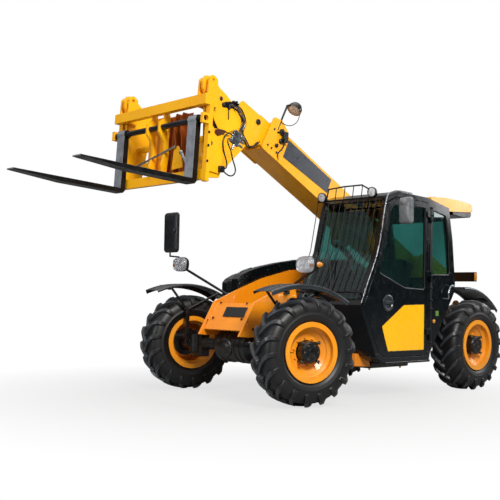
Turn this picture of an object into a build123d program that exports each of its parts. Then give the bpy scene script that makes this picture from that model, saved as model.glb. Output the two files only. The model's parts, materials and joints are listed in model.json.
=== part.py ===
from build123d import *

import os
from math import cos, hypot, radians, sin, sqrt

# A compact telehandler: a wheeled chassis with a side cab, a two-section telescopic boom pivoted
# over the rear axle, and a fork carriage.  Millimetres.  +X forward, +Y left, +Z up.
# Everything is laid out from a datum on the ground just ahead of the front axle and moved along X
# at the end, so that the origin lies on the ground below the middle of the machine's overall box.

# ---- running gear
FRONT_WHEEL_X = -100.0
WHEELBASE = 2650.0
REAR_WHEEL_X = FRONT_WHEEL_X - WHEELBASE
TRACK = 1920.0
TYRE_RADIUS = 515.0
TYRE_WIDTH = 370.0
TYRE_WALL = 26.0
RIM_FLANGE_RADIUS = 285.0
RIM_SEAT_RADIUS = 248.0
RIM_WIDTH = 310.0
RIM_WALL = 11.0
DISC_OFFSET = 34.0
DISC_BORE_RADIUS = 112.0
HUB_RADIUS = 104.0
HUB_FLANGE_RADIUS = 150.0
HUB_REACH = 150.0
HUB_LUG_COUNT = 4
SPINDLE_RADIUS = 48.0
KINGPIN_Y = 710.0
KINGPIN_RADIUS = 22.0
RUNNING_FIT = 0.06
SEAT_GAP = 0.3
YOKE_GAP = 100.0
YOKE_EAR_RADIUS = 52.0
YOKE_EAR_HEIGHT = 40.0
KNUCKLE_RADIUS = 78.0
KNUCKLE_PLAY = 5.0
AXLE_TUBE_RADIUS = 62.0
DIFFERENTIAL_RADIUS = 165.0
DIFFERENTIAL_HALF_WIDTH = 280.0
DIFFERENTIAL_RIB = 6.0
DECK_CLEARANCE = 10.0
FRONT_STEER_AT_REST = -14.0
REAR_STEER_AT_REST = 0.0

# ---- mudguards, each carried by its knuckle
MUDGUARD_ARC_RADIUS = 900.0
MUDGUARD_SKIN = 6.0
MUDGUARD_LIP = 30.0
MUDGUARD_INNER_Y = 55.0  # outboard of the kingpin
MUDGUARD_OUTER_Y = 400.0
# top above the axle, arc's centre ahead of the kingpin, rear end, front end
FRONT_GUARD = (639.0, 90.0, -420.0, 450.0)
REAR_GUARD = (660.0, 200.0, -430.0, 260.0)
GUARD_TUBE_RADIUS = 13.0

# ---- chassis
PLATE_INNER_Y = 290.0
PLATE_THICKNESS = 30.0
AXLE_PAD_TOP = 620.0
NOSE_TIP = (205.0, 630.0)
NOSE_TOP = (5.0, 967.0)
NOSE_PANEL_SETBACK = 26.0
NOSE_SLOT = ((97.0, 772.0), (124.0, 704.0))
NOSE_SLOT_RADIUS = 12.0
NOSE_PANEL_THICKNESS = 16.0
REAR_OVERHANG = 670.0  # from the rear wheels to the back of the tow hitch
REAR_REACH = REAR_OVERHANG - REAR_WHEEL_X
HITCH_HEIGHT = 560.0
HITCH_PIN_RADIUS = 16.0
HITCH_JAW_GAP = 70.0

# ---- boom, in its own frame: u along the boom from its pivot, w up from it
BOOM_PIVOT = (-2850.0, 1470.0)
BOOM_ANGLE = 27.8
BOOM_PIN_RADIUS = 40.0
OUTER_BOOM_LENGTH = 2840.0
OUTER_BOOM_WIDTH = 300.0
OUTER_BOOM_TOP = 64.0
OUTER_BOOM_BOTTOM = -263.0
OUTER_BOOM_WALL = 12.0
INNER_BOOM_WALL = 10.0
WEAR_PAD = 12.0
PAD_PLAY = 0.5
INNER_BOOM_START = 330.0
HEAD_PLATE_GAP = 190.0
HEAD_PLATE_THICKNESS = 30.0
COLLAR_START = 2600.0

# ---- carriage pivot, fork carriage and forks
TILT_PIVOT = (3217.0, -723.0)  # u, w
TILT_PIN_RADIUS = 32.0
CARRIAGE_ANGLE = 3.6
FORK_HEEL = (1073.0, 2070.0)
FORK_LENGTH = 1145.0
FORK_WIDTH = 120.0
FORK_SHANK = 56.0
FORK_BLADE = 45.0
FORK_TIP = 12.0
FORK_SHANK_HEIGHT = 575.0
FORK_CENTRE_Y = 560.0
SHAFT_RADIUS = 27.0
SHAFT_UP = 540.0
SHAFT_BACK = 36.0
CARRIAGE_HALF_WIDTH = 715.0
HOOK_BAR = (905.0, 2765.0)
HITCH_PLATE_INSET = 115.0  # from the carriage's end to the side plates' inner faces
HITCH_PLATE_INNER_Y = CARRIAGE_HALF_WIDTH - HITCH_PLATE_INSET
HITCH_PLATE_THICKNESS = 30.0
HOOK_BAR_RADIUS = 38.0
EAR_HOLE = (912.0, 2965.0)
EAR_HOLE_RADIUS = 17.0
WAVE_PLATE_Y = (-127.0, 64.0)

# ---- hydraulic cylinders
LIFT_BASE = (-2700.0, 760.0)
LIFT_LUG = (1200.0, -420.0)  # u, w
LIFT_BARREL_RADIUS = 62.0
LIFT_ROD_RADIUS = 36.0
LIFT_BARREL_LENGTH = 1000.0
LIFT_ROD_START = 400.0
TILT_BASE = (3015.0, -72.0)  # u, w
TILT_LEVER = (3358.0, -582.0)  # u, w
TILT_BARREL_RADIUS = 45.0
TILT_ROD_RADIUS = 24.0
TILT_BARREL_LENGTH = 430.0
TILT_ROD_START = 168.0
CYLINDER_PIN_RADIUS = 25.0
CYLINDER_EYE_RADIUS = 49.0

# ---- cab
CAB_RIGHT_Y = 200.0
CAB_LEFT_Y = 1090.0
CAB_WALL = 40.0
CAB_OUTLINE = (
    (-951.0, 440.0),
    (-693.0, 960.0),
    (-961.0, 1516.0),
    (-1065.0, 1949.0),
    (-1110.0, 2087.0),
    (-1282.0, 2140.0),
    (-1800.0, 2120.0),
    (-2190.0, 2040.0),
    (-2264.0, 1690.0),
    (-2320.0, 1210.0),
    (-2300.0, 1100.0),
    (-1863.0, 460.0),
    (-1840.0, 375.0),
    (-1100.0, 375.0),
)
DOOR_INSET = 52.0
DOOR_GAP = 6.0
DOOR_REAR_X = -1800.0
GLASS = 6.0
HINGE_RADIUS = 11.0
HINGE_PIN_RADIUS = 6.0
DOOR_HINGE = (-1838.0, 1104.0)
FLOOR_TOP = 470.0
STEP_DECK_Y = 360.0
STEP_DECK_TOP = 800.0

# ---- bonnet and engine bay on the right
BAY_INNER_Y = -330.0
BAY_OUTER_Y = -1120.0
BAY_FRONT_X = -800.0
BAY_REAR_X = -2190.0
BONNET_SPLIT_Z = 1060.0
BONNET_SKIN = 12.0
BONNET_LIP_Y = -435.0
BONNET_HINGE = (-2215.0, 1460.0)
# the bonnet's upper edge, (x, z) from its front to its rear: the strip by the boom, then the rest
BONNET_INNER_TOP = (
    (-345.0, 1110.0),
    (-352.0, 1212.0),
    (-400.0, 1262.0),
    (-509.0, 1303.0),
    (-688.0, 1355.0),
    (-966.0, 1410.0),
    (-1289.0, 1459.0),
    (-2190.0, 1495.0),
)
BONNET_OUTER_TOP = (
    (-802.0, 1182.0),
    (-850.0, 1230.0),
    (-955.0, 1278.0),
    (-1082.0, 1316.0),
    (-1291.0, 1373.0),
    (-1443.0, 1405.0),
    (-1638.0, 1448.0),
    (-1900.0, 1486.0),
    (-2190.0, 1495.0),
)

# ---- headlamps on arms: side, x and z of the arm's foot on its plate, x and z of the lamp
LAMP_SIZE = (100.0, 176.0, 150.0)
LAMP_CORNER_RADIUS = 66.0
LAMPS = (
    (1, -430.0, 1085.0, -45.0, 1345.0),
    (-1, -257.0, 1022.0, -68.0, 1380.0),
)

# ---- lamp over the boom's mouth: centre (u, y, w), tilt, and the cup's (depth, radius) section
BOOM_LAMP = (2660.0, 170.0, 360.0)
BOOM_LAMP_TILT = 10.0
BOOM_LAMP_CUP = (
    (-70.0, 0.0),
    (-70.0, 35.0),
    (-58.0, 55.0),
    (-23.0, 75.0),
    (0.0, 78.0),
    (18.0, 79.0),
    (18.0, 70.0),
    (0.0, 69.0),
    (-22.0, 66.0),
    (-52.0, 48.0),
    (-62.0, 30.0),
    (-62.0, 0.0),
)
GUARD_BAR_COUNT = 10
GUARD_BAR_RADIUS = 4.5
# ---- hoop over the windscreen guard: distance from its right edge and height
GUARD_HOOP = (
    (122.0, 2060.0),
    (138.0, 2188.0),
    (354.0, 2201.0),
    (601.0, 2200.0),
    (704.0, 2147.0),
    (806.0, 2060.0),
)


def side_face(outline, y, radius=0.0):
    """A face standing along X at y, from corners (x, z), which radius rounds."""
    sketch = Polygon(*outline, align=None)
    if radius:
        sketch = fillet(sketch.vertices(), radius)
    return Plane(origin=(0, y, 0), x_dir=(1, 0, 0), z_dir=(0, -1, 0)) * sketch


def side_slab(outline, y_low, y_high, radius=0.0):
    """A plate standing along X between y_low and y_high."""
    return extrude(side_face(outline, y_high, radius), amount=y_high - y_low, dir=(0, -1, 0))


def plan_slab(outline, z_low, z_high, radius=0.0):
    """A level slab between z_low and z_high, from corners (x, y)."""
    sketch = Polygon(*outline, align=None)
    if radius:
        sketch = fillet(sketch.vertices(), radius)
    return extrude(Plane(origin=(0, 0, z_low)) * sketch, amount=z_high - z_low, dir=(0, 0, 1))


def block(x_low, x_high, y_low, y_high, z_low, z_high):
    """A box between six planes."""
    size = (x_high - x_low, y_high - y_low, z_high - z_low)
    centre = ((x_low + x_high) / 2, (y_low + y_high) / 2, (z_low + z_high) / 2)
    return Pos(*centre) * Box(*size)


def rod(start, end, radius):
    """A round bar between two points."""
    axis = Vector(*end) - Vector(*start)
    face = Plane(origin=start, z_dir=axis) * Circle(radius)
    return extrude(face, amount=axis.length, dir=axis.normalized())


def cross_rod(x, z, y_low, y_high, radius):
    """A round bar along Y."""
    return rod((x, y_low, z), (x, y_high, z), radius)


def turned(profile):
    """A solid turned about the Y axis, from corners (distance along Y, radius)."""
    plane = Plane(origin=(0, 0, 0), x_dir=(0, 1, 0), z_dir=(1, 0, 0))
    return revolve(plane * Polygon(*profile, align=None), axis=Axis.Y)


def boom_point(u, w):
    """The (x, z) of a point given in the boom's own frame."""
    angle = radians(BOOM_ANGLE)
    x = BOOM_PIVOT[0] + u * cos(angle) - w * sin(angle)
    z = BOOM_PIVOT[1] + u * sin(angle) + w * cos(angle)
    return x, z


def on_boom(shape):
    """Moves a shape drawn in the boom's frame to its place."""
    return Pos(BOOM_PIVOT[0], 0, BOOM_PIVOT[1]) * Rot(0, -BOOM_ANGLE, 0) * shape


def on_carriage(shape):
    """Moves a shape drawn from the fork heel to its place."""
    return Pos(FORK_HEEL[0], 0, FORK_HEEL[1]) * Rot(0, -CARRIAGE_ANGLE, 0) * shape


def carriage_local(x, z):
    """The fork-heel coordinates of a point (x, z)."""
    angle = radians(CARRIAGE_ANGLE)
    forward = x - FORK_HEEL[0]
    up = z - FORK_HEEL[1]
    return forward * cos(angle) + up * sin(angle), -forward * sin(angle) + up * cos(angle)


def fork_reach():
    """How far ahead of the datum the fork tips are."""
    angle = radians(CARRIAGE_ANGLE)
    return FORK_HEEL[0] + FORK_LENGTH * cos(angle) + FORK_TIP * sin(angle)


DATUM_X = (REAR_REACH - fork_reach()) / 2
WHEEL_OFFSET = TRACK / 2 - KINGPIN_Y

# name, axle x, side (+1 left, -1 right), steering angle at rest, mudguard
CORNERS = (
    ("front_left", FRONT_WHEEL_X, 1, FRONT_STEER_AT_REST, FRONT_GUARD),
    ("front_right", FRONT_WHEEL_X, -1, FRONT_STEER_AT_REST, FRONT_GUARD),
    ("rear_left", REAR_WHEEL_X, 1, REAR_STEER_AT_REST, REAR_GUARD),
    ("rear_right", REAR_WHEEL_X, -1, REAR_STEER_AT_REST, REAR_GUARD),
)


# ---------------------------------------------------------------- wheels and knuckles
def tyre():
    """The casing, open to the rim, with rounded shoulders."""
    half = TYRE_WIDTH / 2
    bead = RIM_WIDTH / 2 - RIM_WALL - SEAT_GAP
    seat = RIM_SEAT_RADIUS + SEAT_GAP
    outer = (
        (-bead, seat),
        (-bead, RIM_FLANGE_RADIUS + 8),
        (-half + 12, RIM_FLANGE_RADIUS + 40),
        (-half, TYRE_RADIUS - 140),
        (-half + 6, TYRE_RADIUS - 70),
        (-half + 40, TYRE_RADIUS - 14),
        (-half + 90, TYRE_RADIUS),
    )
    inner = (
        (-bead + TYRE_WALL, seat),
        (-bead + TYRE_WALL, RIM_FLANGE_RADIUS + 20),
        (-half + TYRE_WALL + 8, TYRE_RADIUS - 140),
        (-half + TYRE_WALL + 20, TYRE_RADIUS - 80),
        (-half + 90, TYRE_RADIUS - 55),
    )
    left = [(-y, r) for y, r in reversed(outer)]
    inner_left = [(-y, r) for y, r in inner]
    profile = list(outer) + left + inner_left + list(reversed(inner))
    return turned(profile)


def rim():
    """The two flanges, the stepped barrel and the dished disc."""
    half = RIM_WIDTH / 2
    seat = RIM_SEAT_RADIUS
    flange = RIM_FLANGE_RADIUS
    wall = RIM_WALL
    barrel = (
        (-half, flange),
        (-half + wall, flange),
        (-half + wall, seat),
        (-half + 50, seat),
        (-half + 75, seat - 30),
        (half - 75, seat - 30),
        (half - 50, seat),
        (half - wall, seat),
        (half - wall, flange),
        (half, flange),
        (half, seat - wall),
        (half - 46, seat - wall),
        (half - 71, seat - 30 - wall),
        (-half + 71, seat - 30 - wall),
        (-half + 46, seat - wall),
        (-half, seat - wall),
    )
    dish = (
        (DISC_OFFSET, DISC_BORE_RADIUS),
        (DISC_OFFSET, 165.0),
        (DISC_OFFSET + 34, seat - 40),
        (DISC_OFFSET + 34 + wall, seat - 36),
        (DISC_OFFSET + wall + 2, 160.0),
        (DISC_OFFSET + wall + 2, DISC_BORE_RADIUS),
    )
    return turned(barrel) + turned(dish)


def hub():
    """The planetary hub that turns on the spindle: flange, drum, cover and lugs."""
    bore = SPINDLE_RADIUS + RUNNING_FIT
    inner_end = -118.0
    profile = (
        (inner_end, bore),
        (inner_end, 92.0),
        (DISC_OFFSET - 24, 92.0),
        (DISC_OFFSET - 24, HUB_FLANGE_RADIUS),
        (DISC_OFFSET - SEAT_GAP, HUB_FLANGE_RADIUS),
        (DISC_OFFSET - SEAT_GAP, HUB_RADIUS),
        (HUB_REACH - 16, HUB_RADIUS),
        (HUB_REACH, HUB_RADIUS - 16),
        (HUB_REACH, 40.0),
        (HUB_REACH - 8, 34.0),
        (HUB_REACH - 8, 0.0),
        (80.0, 0.0),
        (80.0, bore),
    )
    drum = turned(profile)
    lug = rod((HUB_RADIUS - 4, DISC_OFFSET + 13, 0), (HUB_RADIUS - 4, HUB_REACH - 30, 0), 16.0)
    for index in range(HUB_LUG_COUNT):
        drum += Rot(0, 45 + index * 360 / HUB_LUG_COUNT, 0) * lug
    return drum


def guard_ring(guard, outer_drop, inner_drop, y_low, y_high, rear, front):
    """A stretch of a mudguard's arc between two depths below its top."""
    top, centre_x = guard[:2]
    centre = (centre_x, top - MUDGUARD_ARC_RADIUS)
    plane = Plane(origin=(0, y_high, 0), x_dir=(1, 0, 0), z_dir=(0, -1, 0))
    ring = Circle(MUDGUARD_ARC_RADIUS - outer_drop) - Circle(MUDGUARD_ARC_RADIUS - inner_drop)
    band = extrude(plane * Pos(*centre) * ring, amount=y_high - y_low, dir=(0, -1, 0))
    return band & block(rear, front, y_low - 1, y_high + 1, 0, top + 1)


def mudguard(guard):
    """A shallow arched skin with turned-down sides."""
    skin = MUDGUARD_SKIN
    inner_y = MUDGUARD_INNER_Y
    outer_y = MUDGUARD_OUTER_Y
    rear, front = guard[2:]
    lipped = guard_ring(guard, 0, MUDGUARD_LIP, inner_y, outer_y, rear, front)
    hollow = guard_ring(
        guard, skin, MUDGUARD_LIP + 5, inner_y + skin, outer_y - skin, rear - 1, front + 1
    )
    return lipped - hollow


def knuckle(guard):
    """The swivel housing on its kingpins, with the wheel spindle and the mudguard's bracket."""
    half = YOKE_GAP - KNUCKLE_PLAY
    pin_half = YOKE_GAP + YOKE_EAR_HEIGHT - 3
    body = Cylinder(KNUCKLE_RADIUS, 2 * half)
    body += Cylinder(KINGPIN_RADIUS, 2 * pin_half)
    body += rod((0, 0, 0), (0, WHEEL_OFFSET + 76, 0), SPINDLE_RADIUS)
    body += rod((0, 0, 0), (0, WHEEL_OFFSET - 124, 0), 88.0)
    body += block(40, 130, 4, 44, -40, 40)
    body += block(88, 130, 4, 44, -40, 370)
    body += block(-125, -40, -20, 16, -30, 0)  # steering arm
    body += Pos(-125, -2, -15) * Cylinder(22, 30)
    strap = 6.0
    top, centre_x, rear, front = guard
    under = MUDGUARD_SKIN + SEAT_GAP
    for reach in (rear + 150, front - 150):
        drop = MUDGUARD_ARC_RADIUS - sqrt(MUDGUARD_ARC_RADIUS**2 - (reach - centre_x) ** 2)
        tube_end = (reach, 26.0, top - drop - under - strap / 2 - GUARD_TUBE_RADIUS)
        body += rod((109.0, 26.0, 355.0), tube_end, GUARD_TUBE_RADIUS)
        body += guard_ring(
            guard, under, under + strap, MUDGUARD_INNER_Y + MUDGUARD_SKIN + 2, 370, reach - 20, reach + 20
        )
        body += guard_ring(guard, MUDGUARD_LIP + 1, MUDGUARD_LIP + 13, 10, 90, reach - 16, reach + 16)
        slope = abs(reach - centre_x) / (MUDGUARD_ARC_RADIUS - drop)
        body += block(
            reach - 16, reach + 16, 68, 90, tube_end[2] - 22, top - drop - under - 1.5 - 16 * slope
        )
    return body


def corner_pieces():
    """The knuckle, mudguard, rim, hub and tyre of each wheel station."""
    pieces = {}
    for name, axle_x, side, steer, guard in CORNERS:
        station = Pos(axle_x, side * KINGPIN_Y, TYRE_RADIUS) * Rot(0, 0, steer)
        parts = {
            "knuckle": knuckle(guard),
            "mudguard": mudguard(guard),
            "rim": Pos(0, WHEEL_OFFSET, 0) * rim(),
            "hub": Pos(0, WHEEL_OFFSET, 0) * hub(),
            "tyre": Pos(0, WHEEL_OFFSET, 0) * tyre(),
        }
        for part, shape in parts.items():
            if side < 0:
                shape = mirror(shape, about=Plane.XZ)
            pieces[f"{name}_{part}"] = station * shape
    return pieces


def axle(x):
    """An axle beam: differential casing, tubes, yokes with kingpin bores, and pads for the chassis."""
    half = DIFFERENTIAL_HALF_WIDTH
    bulge = DIFFERENTIAL_RADIUS
    tube = AXLE_TUBE_RADIUS
    yoke_root = KINGPIN_Y - 150
    profile = (
        (-yoke_root, 0.0),
        (-yoke_root, tube),
        (-half - 90, tube),
        (-half, tube + 34),
        (-half + 60, bulge),
        (half - 60, bulge),
        (half, tube + 34),
        (half + 90, tube),
        (yoke_root, tube),
        (yoke_root, 0.0),
    )
    beam = turned(profile)
    for y in (-150, -75, 75, 150):
        beam += cross_rod(0, 0, y - 7, y + 7, bulge + DIFFERENTIAL_RIB)
    ear_top = YOKE_GAP + YOKE_EAR_HEIGHT
    width = YOKE_EAR_RADIUS
    for side in (1, -1):
        root = sorted((side * yoke_root, side * (yoke_root + 54)))
        beam += block(-width, width, root[0], root[1], -ear_top, ear_top)
        reach = sorted((side * (yoke_root + 50), side * KINGPIN_Y))
        for low, high in ((YOKE_GAP, ear_top), (-ear_top, -YOKE_GAP)):
            beam += block(-width, width, reach[0], reach[1], low, high)
            beam += Pos(0, side * KINGPIN_Y, (low + high) / 2) * Cylinder(width, high - low)
        beam -= Pos(0, side * KINGPIN_Y, 0) * Cylinder(KINGPIN_RADIUS + RUNNING_FIT, 2 * ear_top + 2)
        pad = sorted((side * (PLATE_INNER_Y - 20), side * (PLATE_INNER_Y + PLATE_THICKNESS + 20)))
        beam += block(-60, 60, pad[0], pad[1], 0, AXLE_PAD_TOP - TYRE_RADIUS)
    return Pos(x, 0, TYRE_RADIUS) * beam


# ---------------------------------------------------------------- chassis
def plate_outline(under_cab):
    """The (x, z) corners of a chassis plate; the left one passes low under the cab."""
    pivot_x, pivot_z = BOOM_PIVOT
    rear_x = -REAR_REACH + 100
    top = [NOSE_TIP, NOSE_TOP, (-350.0, 1110.0)]
    if under_cab:
        top += [(-560.0, 1170.0), (-640.0, 740.0), (-2330.0, 740.0), (-2440.0, 1180.0)]
    else:
        top += [(-670.0, 1225.0), (-1100.0, 1330.0), (-1640.0, 1374.0), (-2330.0, 1374.0)]
    tower = [
        (pivot_x + 190, pivot_z + 10),
        (pivot_x + 90, pivot_z + 105),
        (pivot_x - 90, pivot_z + 105),
        (rear_x, pivot_z - 90),
        (rear_x, 640.0),
    ]
    bottom = [
        (REAR_WHEEL_X - 130, AXLE_PAD_TOP),
        (REAR_WHEEL_X + 130, AXLE_PAD_TOP),
        (REAR_WHEEL_X + 330, 430.0),
        (FRONT_WHEEL_X - 420, 430.0),
        (FRONT_WHEEL_X - 130, AXLE_PAD_TOP),
        (90.0, AXLE_PAD_TOP),
    ]
    return top + tower + bottom


def chassis_pieces():
    """The two long plates and what joins them."""
    inner = PLATE_INNER_Y
    outer = PLATE_INNER_Y + PLATE_THICKNESS
    left = side_slab(plate_outline(True), inner, outer)
    right = side_slab(plate_outline(False), -outer, -inner)
    slot = cross_rod(*NOSE_SLOT[0], -outer - 1, outer + 1, NOSE_SLOT_RADIUS)
    slot += cross_rod(*NOSE_SLOT[1], -outer - 1, outer + 1, NOSE_SLOT_RADIUS)
    run_x = NOSE_SLOT[1][0] - NOSE_SLOT[0][0]
    run_z = NOSE_SLOT[1][1] - NOSE_SLOT[0][1]
    scale = NOSE_SLOT_RADIUS / hypot(run_x, run_z)
    across_x = -run_z * scale
    across_z = run_x * scale
    slot += side_slab(
        [(x + k * across_x, z + k * across_z) for (x, z), k in zip((*NOSE_SLOT, *NOSE_SLOT[::-1]), (1, 1, -1, -1))],
        -outer - 1,
        outer + 1,
    )
    left -= slot
    right -= slot
    tip_x, tip_z = NOSE_TIP[0] - NOSE_PANEL_SETBACK, NOSE_TIP[1]
    top_x, top_z = NOSE_TOP[0] - NOSE_PANEL_SETBACK, NOSE_TOP[1]
    length = hypot(top_x - tip_x, top_z - tip_z)
    back = NOSE_PANEL_THICKNESS * (top_z - tip_z) / length
    shrink = 40.0 / length
    low = (tip_x + (top_x - tip_x) * shrink * 1.6, tip_z + (top_z - tip_z) * shrink * 1.6)
    high = (top_x + (tip_x - top_x) * shrink * 0.3, top_z + (tip_z - top_z) * shrink * 0.3)
    panel = side_slab((low, high, (high[0] - back, high[1] - 8), (low[0] - back, low[1] - 8)), -inner, inner)
    members = panel
    deck = TYRE_RADIUS + DIFFERENTIAL_RADIUS + DECK_CLEARANCE
    members += block(-360, 124, -inner, inner, deck, deck + 16)
    lower_deck = block(-2300, -420, -inner, inner, 430, 446)
    rear_x = -REAR_REACH + 100
    tail = block(rear_x, rear_x + 60, -inner, inner, 640, 1180)
    tail += block(rear_x, REAR_WHEEL_X - 60, -inner, inner, deck, deck + 16)
    tail += block(rear_x - 20, rear_x, -200, 200, HITCH_HEIGHT - 90, 700)
    for low_z in (HITCH_HEIGHT + HITCH_JAW_GAP / 2, HITCH_HEIGHT - HITCH_JAW_GAP / 2 - 25):
        tail += block(-REAR_REACH, rear_x - 20, -55, 55, low_z, low_z + 25)
    tail -= Pos(-REAR_REACH + 36, 0, HITCH_HEIGHT) * Cylinder(HITCH_PIN_RADIUS, 300)
    pivot = cross_rod(*BOOM_PIVOT, -outer - 18, outer + 18, BOOM_PIN_RADIUS)
    hole = cross_rod(*BOOM_PIVOT, -outer - 1, outer + 1, BOOM_PIN_RADIUS + RUNNING_FIT)
    base = cross_rod(*LIFT_BASE, -inner, inner, CYLINDER_PIN_RADIUS)
    mounts = [block(x, x + 120, outer, STEP_DECK_Y - SEAT_GAP, 520, 620) for x in (-1250, -1800)]
    mounts += [block(x, x + 120, BAY_INNER_Y + SEAT_GAP, -outer, 700, 820) for x in (-1150, -2050)]
    return {
        "chassis_plates": Compound([left - hole, right - hole]),
        "chassis_cross_members": Compound([*members.solids(), lower_deck, tail, *mounts]),
        "chassis_pins": Compound([pivot, base]),
    }


def transmission():
    """The gearbox between the plates and the shafts to both axles."""
    z = TYRE_RADIUS + 10
    box = block(-1700, -1250, -140, 140, 446 + SEAT_GAP, 700)
    box += rod((FRONT_WHEEL_X - DIFFERENTIAL_RADIUS - 2, 0, z), (-1250, 0, z + 30), 34)
    box += rod((-1700, 0, z + 30), (REAR_WHEEL_X + DIFFERENTIAL_RADIUS + 2, 0, z), 34)
    return box


# ---------------------------------------------------------------- boom
def outer_boom():
    """The rectangular outer section with its pivot boss, mouth collar, wear pads and lift lugs."""
    half = OUTER_BOOM_WIDTH / 2
    wall = OUTER_BOOM_WALL
    top = OUTER_BOOM_TOP
    bottom = OUTER_BOOM_BOTTOM
    mouth = OUTER_BOOM_LENGTH
    body = side_slab(((-90, bottom + 90), (120, bottom), (mouth, bottom), (mouth, top), (-90, top)), -half, half)
    body -= block(160, mouth + 1, -half + wall, half - wall, bottom + wall, top - wall)
    body += cross_rod(0, 0, -half - 20, half + 20, 95)
    collar = ((COLLAR_START, bottom - 10), (mouth + 20, bottom - 10), (mouth + 20, top + 50))
    collar += ((mouth - 90, top + 84), (COLLAR_START, top + 20))
    for low, high in ((half, half + 18), (-half - 18, -half)):
        body += side_slab(collar, low, high, 25)
    pad_gap = WEAR_PAD + wall
    ring = block(mouth - 120, mouth, -half + wall, half - wall, bottom + wall, top - wall)
    ring -= block(
        mouth - 121, mouth + 1, -half + pad_gap, half - pad_gap, bottom + pad_gap, top - pad_gap
    )
    body += ring
    lug_u, lug_w = LIFT_LUG
    lug = ((lug_u - 130, bottom), (lug_u - 60, lug_w - 40), (lug_u + 40, lug_w - 40), (lug_u + 170, bottom))
    for low, high in ((52, 76), (-76, -52)):
        plate = side_slab(lug, low, high)
        plate -= cross_rod(lug_u, lug_w, low - 1, high + 1, CYLINDER_PIN_RADIUS)
        body += plate
    body -= cross_rod(0, 0, -half - 21, half + 21, BOOM_PIN_RADIUS + RUNNING_FIT)
    lamp_u, lamp_y, lamp_w = BOOM_LAMP
    elbow = (lamp_u + 105, half + 15, lamp_w - 30)
    body += rod((lamp_u + 95, half + 9, top - 40), elbow, 9)
    body += Pos(*elbow) * Sphere(9)
    body += rod(elbow, (lamp_u + 42, lamp_y, lamp_w + 38), 8)
    cup = turned(BOOM_LAMP_CUP)
    body += Pos(*BOOM_LAMP) * Rot(0, -BOOM_LAMP_TILT, 0) * Rot(-90, 0, 0) * cup
    return on_boom(body)


def head_outline():
    """The (u, w) corners of a nose plate, from the boom's end down to the carriage pivot."""
    pivot_u, pivot_w = TILT_PIVOT
    return (
        (2880.0, 33.0),
        (3270.0, 20.0),
        (3330.0, -112.0),
        (3330.0, -330.0),
        (pivot_u + 92, pivot_w + 20),
        (pivot_u + 40, pivot_w - 84),
        (pivot_u - 50, pivot_w - 80),
        (3020.0, -370.0),
        (2880.0, -252.0),
    )


def inner_boom():
    """The sliding section, hollow, with the two nose plates that carry the fork carriage."""
    gap = OUTER_BOOM_WALL + WEAR_PAD + PAD_PLAY
    half = OUTER_BOOM_WIDTH / 2 - gap
    top = OUTER_BOOM_TOP - gap
    bottom = OUTER_BOOM_BOTTOM + gap
    wall = INNER_BOOM_WALL
    body = block(INNER_BOOM_START, 3000, -half, half, bottom, top)
    body -= block(INNER_BOOM_START - 1, 3001, -half + wall, half - wall, bottom + wall, top - wall)
    plate_in = HEAD_PLATE_GAP / 2
    plate_out = plate_in + HEAD_PLATE_THICKNESS
    pivot_u, pivot_w = TILT_PIVOT
    for side in (1, -1):
        low, high = sorted((side * plate_in, side * plate_out))
        plate = side_slab(head_outline(), low, high)
        plate -= cross_rod(pivot_u, pivot_w, low - 1, high + 1, TILT_PIN_RADIUS + RUNNING_FIT)
        body += plate
    body += block(2890, 3250, -plate_in, plate_in, 0, 16)
    tilt_u, tilt_w = TILT_BASE
    body += cross_rod(tilt_u, tilt_w, -half, half, CYLINDER_PIN_RADIUS)
    return on_boom(body)


# ---------------------------------------------------------------- carriage
def hitch_pieces():
    """The headstock: lever, pivot pin, two centre plates and cross bars; apart, the hooked side plates."""
    pivot = boom_point(*TILT_PIVOT)
    lever = boom_point(*TILT_LEVER)
    plate_in = HEAD_PLATE_GAP / 2
    body = cross_rod(*pivot, -plate_in - HEAD_PLATE_THICKNESS - 12, plate_in + HEAD_PLATE_THICKNESS + 12, TILT_PIN_RADIUS)
    for low, high in ((54, plate_in - 4), (4 - plate_in, -54)):
        body += cross_rod(*pivot, low, high, 62)
    arm = (
        (lever[0] - 50, lever[1] + 40),
        (lever[0] + 40, lever[1] + 50),
        (pivot[0] + 330, pivot[1] + 190),
        (820.0, pivot[1] + 190),
        (820.0, pivot[1] - 120),
        (pivot[0] + 40, pivot[1] - 60),
        (pivot[0] - 58, pivot[1] - 10),
    )
    for low, high in ((56, 82), (-82, -56)):
        plate = side_slab(arm, low, high, 15)
        plate -= cross_rod(*lever, low - 1, high + 1, CYLINDER_PIN_RADIUS)
        body += plate
    side_plate = (
        (945.0, 2640.0),
        (940.0, 2092.0),
        (768.0, 2102.0),
        (730.0, 2296.0),
        (692.0, 2470.0),
        (640.0, 2508.0),
        (582.0, 2575.0),
        (562.0, 2680.0),
        (604.0, 2800.0),
        (690.0, 2872.0),
        (772.0, 2924.0),
        (850.0, 2987.0),
        (895.0, 3018.0),
        (948.0, 3012.0),
        (975.0, 2960.0),
        (975.0, 2900.0),
        (945.0, 2845.0),
    )
    slot = HOOK_BAR_RADIUS + SEAT_GAP
    plates = []
    for side in (1, -1):
        low, high = sorted((side * HITCH_PLATE_INNER_Y, side * (HITCH_PLATE_INNER_Y + HITCH_PLATE_THICKNESS)))
        plate = side_slab(side_plate, low, high, 10)
        plate -= cross_rod(*HOOK_BAR, low - 1, high + 1, slot)
        plate -= block(HOOK_BAR[0], 1100, low - 1, high + 1, HOOK_BAR[1] - slot, HOOK_BAR[1] + slot)
        plate -= cross_rod(*EAR_HOLE, low - 1, high + 1, EAR_HOLE_RADIUS)
        plates.append(plate)
    reach = HITCH_PLATE_INNER_Y - SEAT_GAP
    for x, z, radius in ((800.0, 2300.0, 42.0), (795.0, 2480.0, 32.0)):
        body += cross_rod(x, z, -reach, reach, radius)
    return {"hitch_carriage": body, "hitch_side_plates": Compound(plates)}


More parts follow.
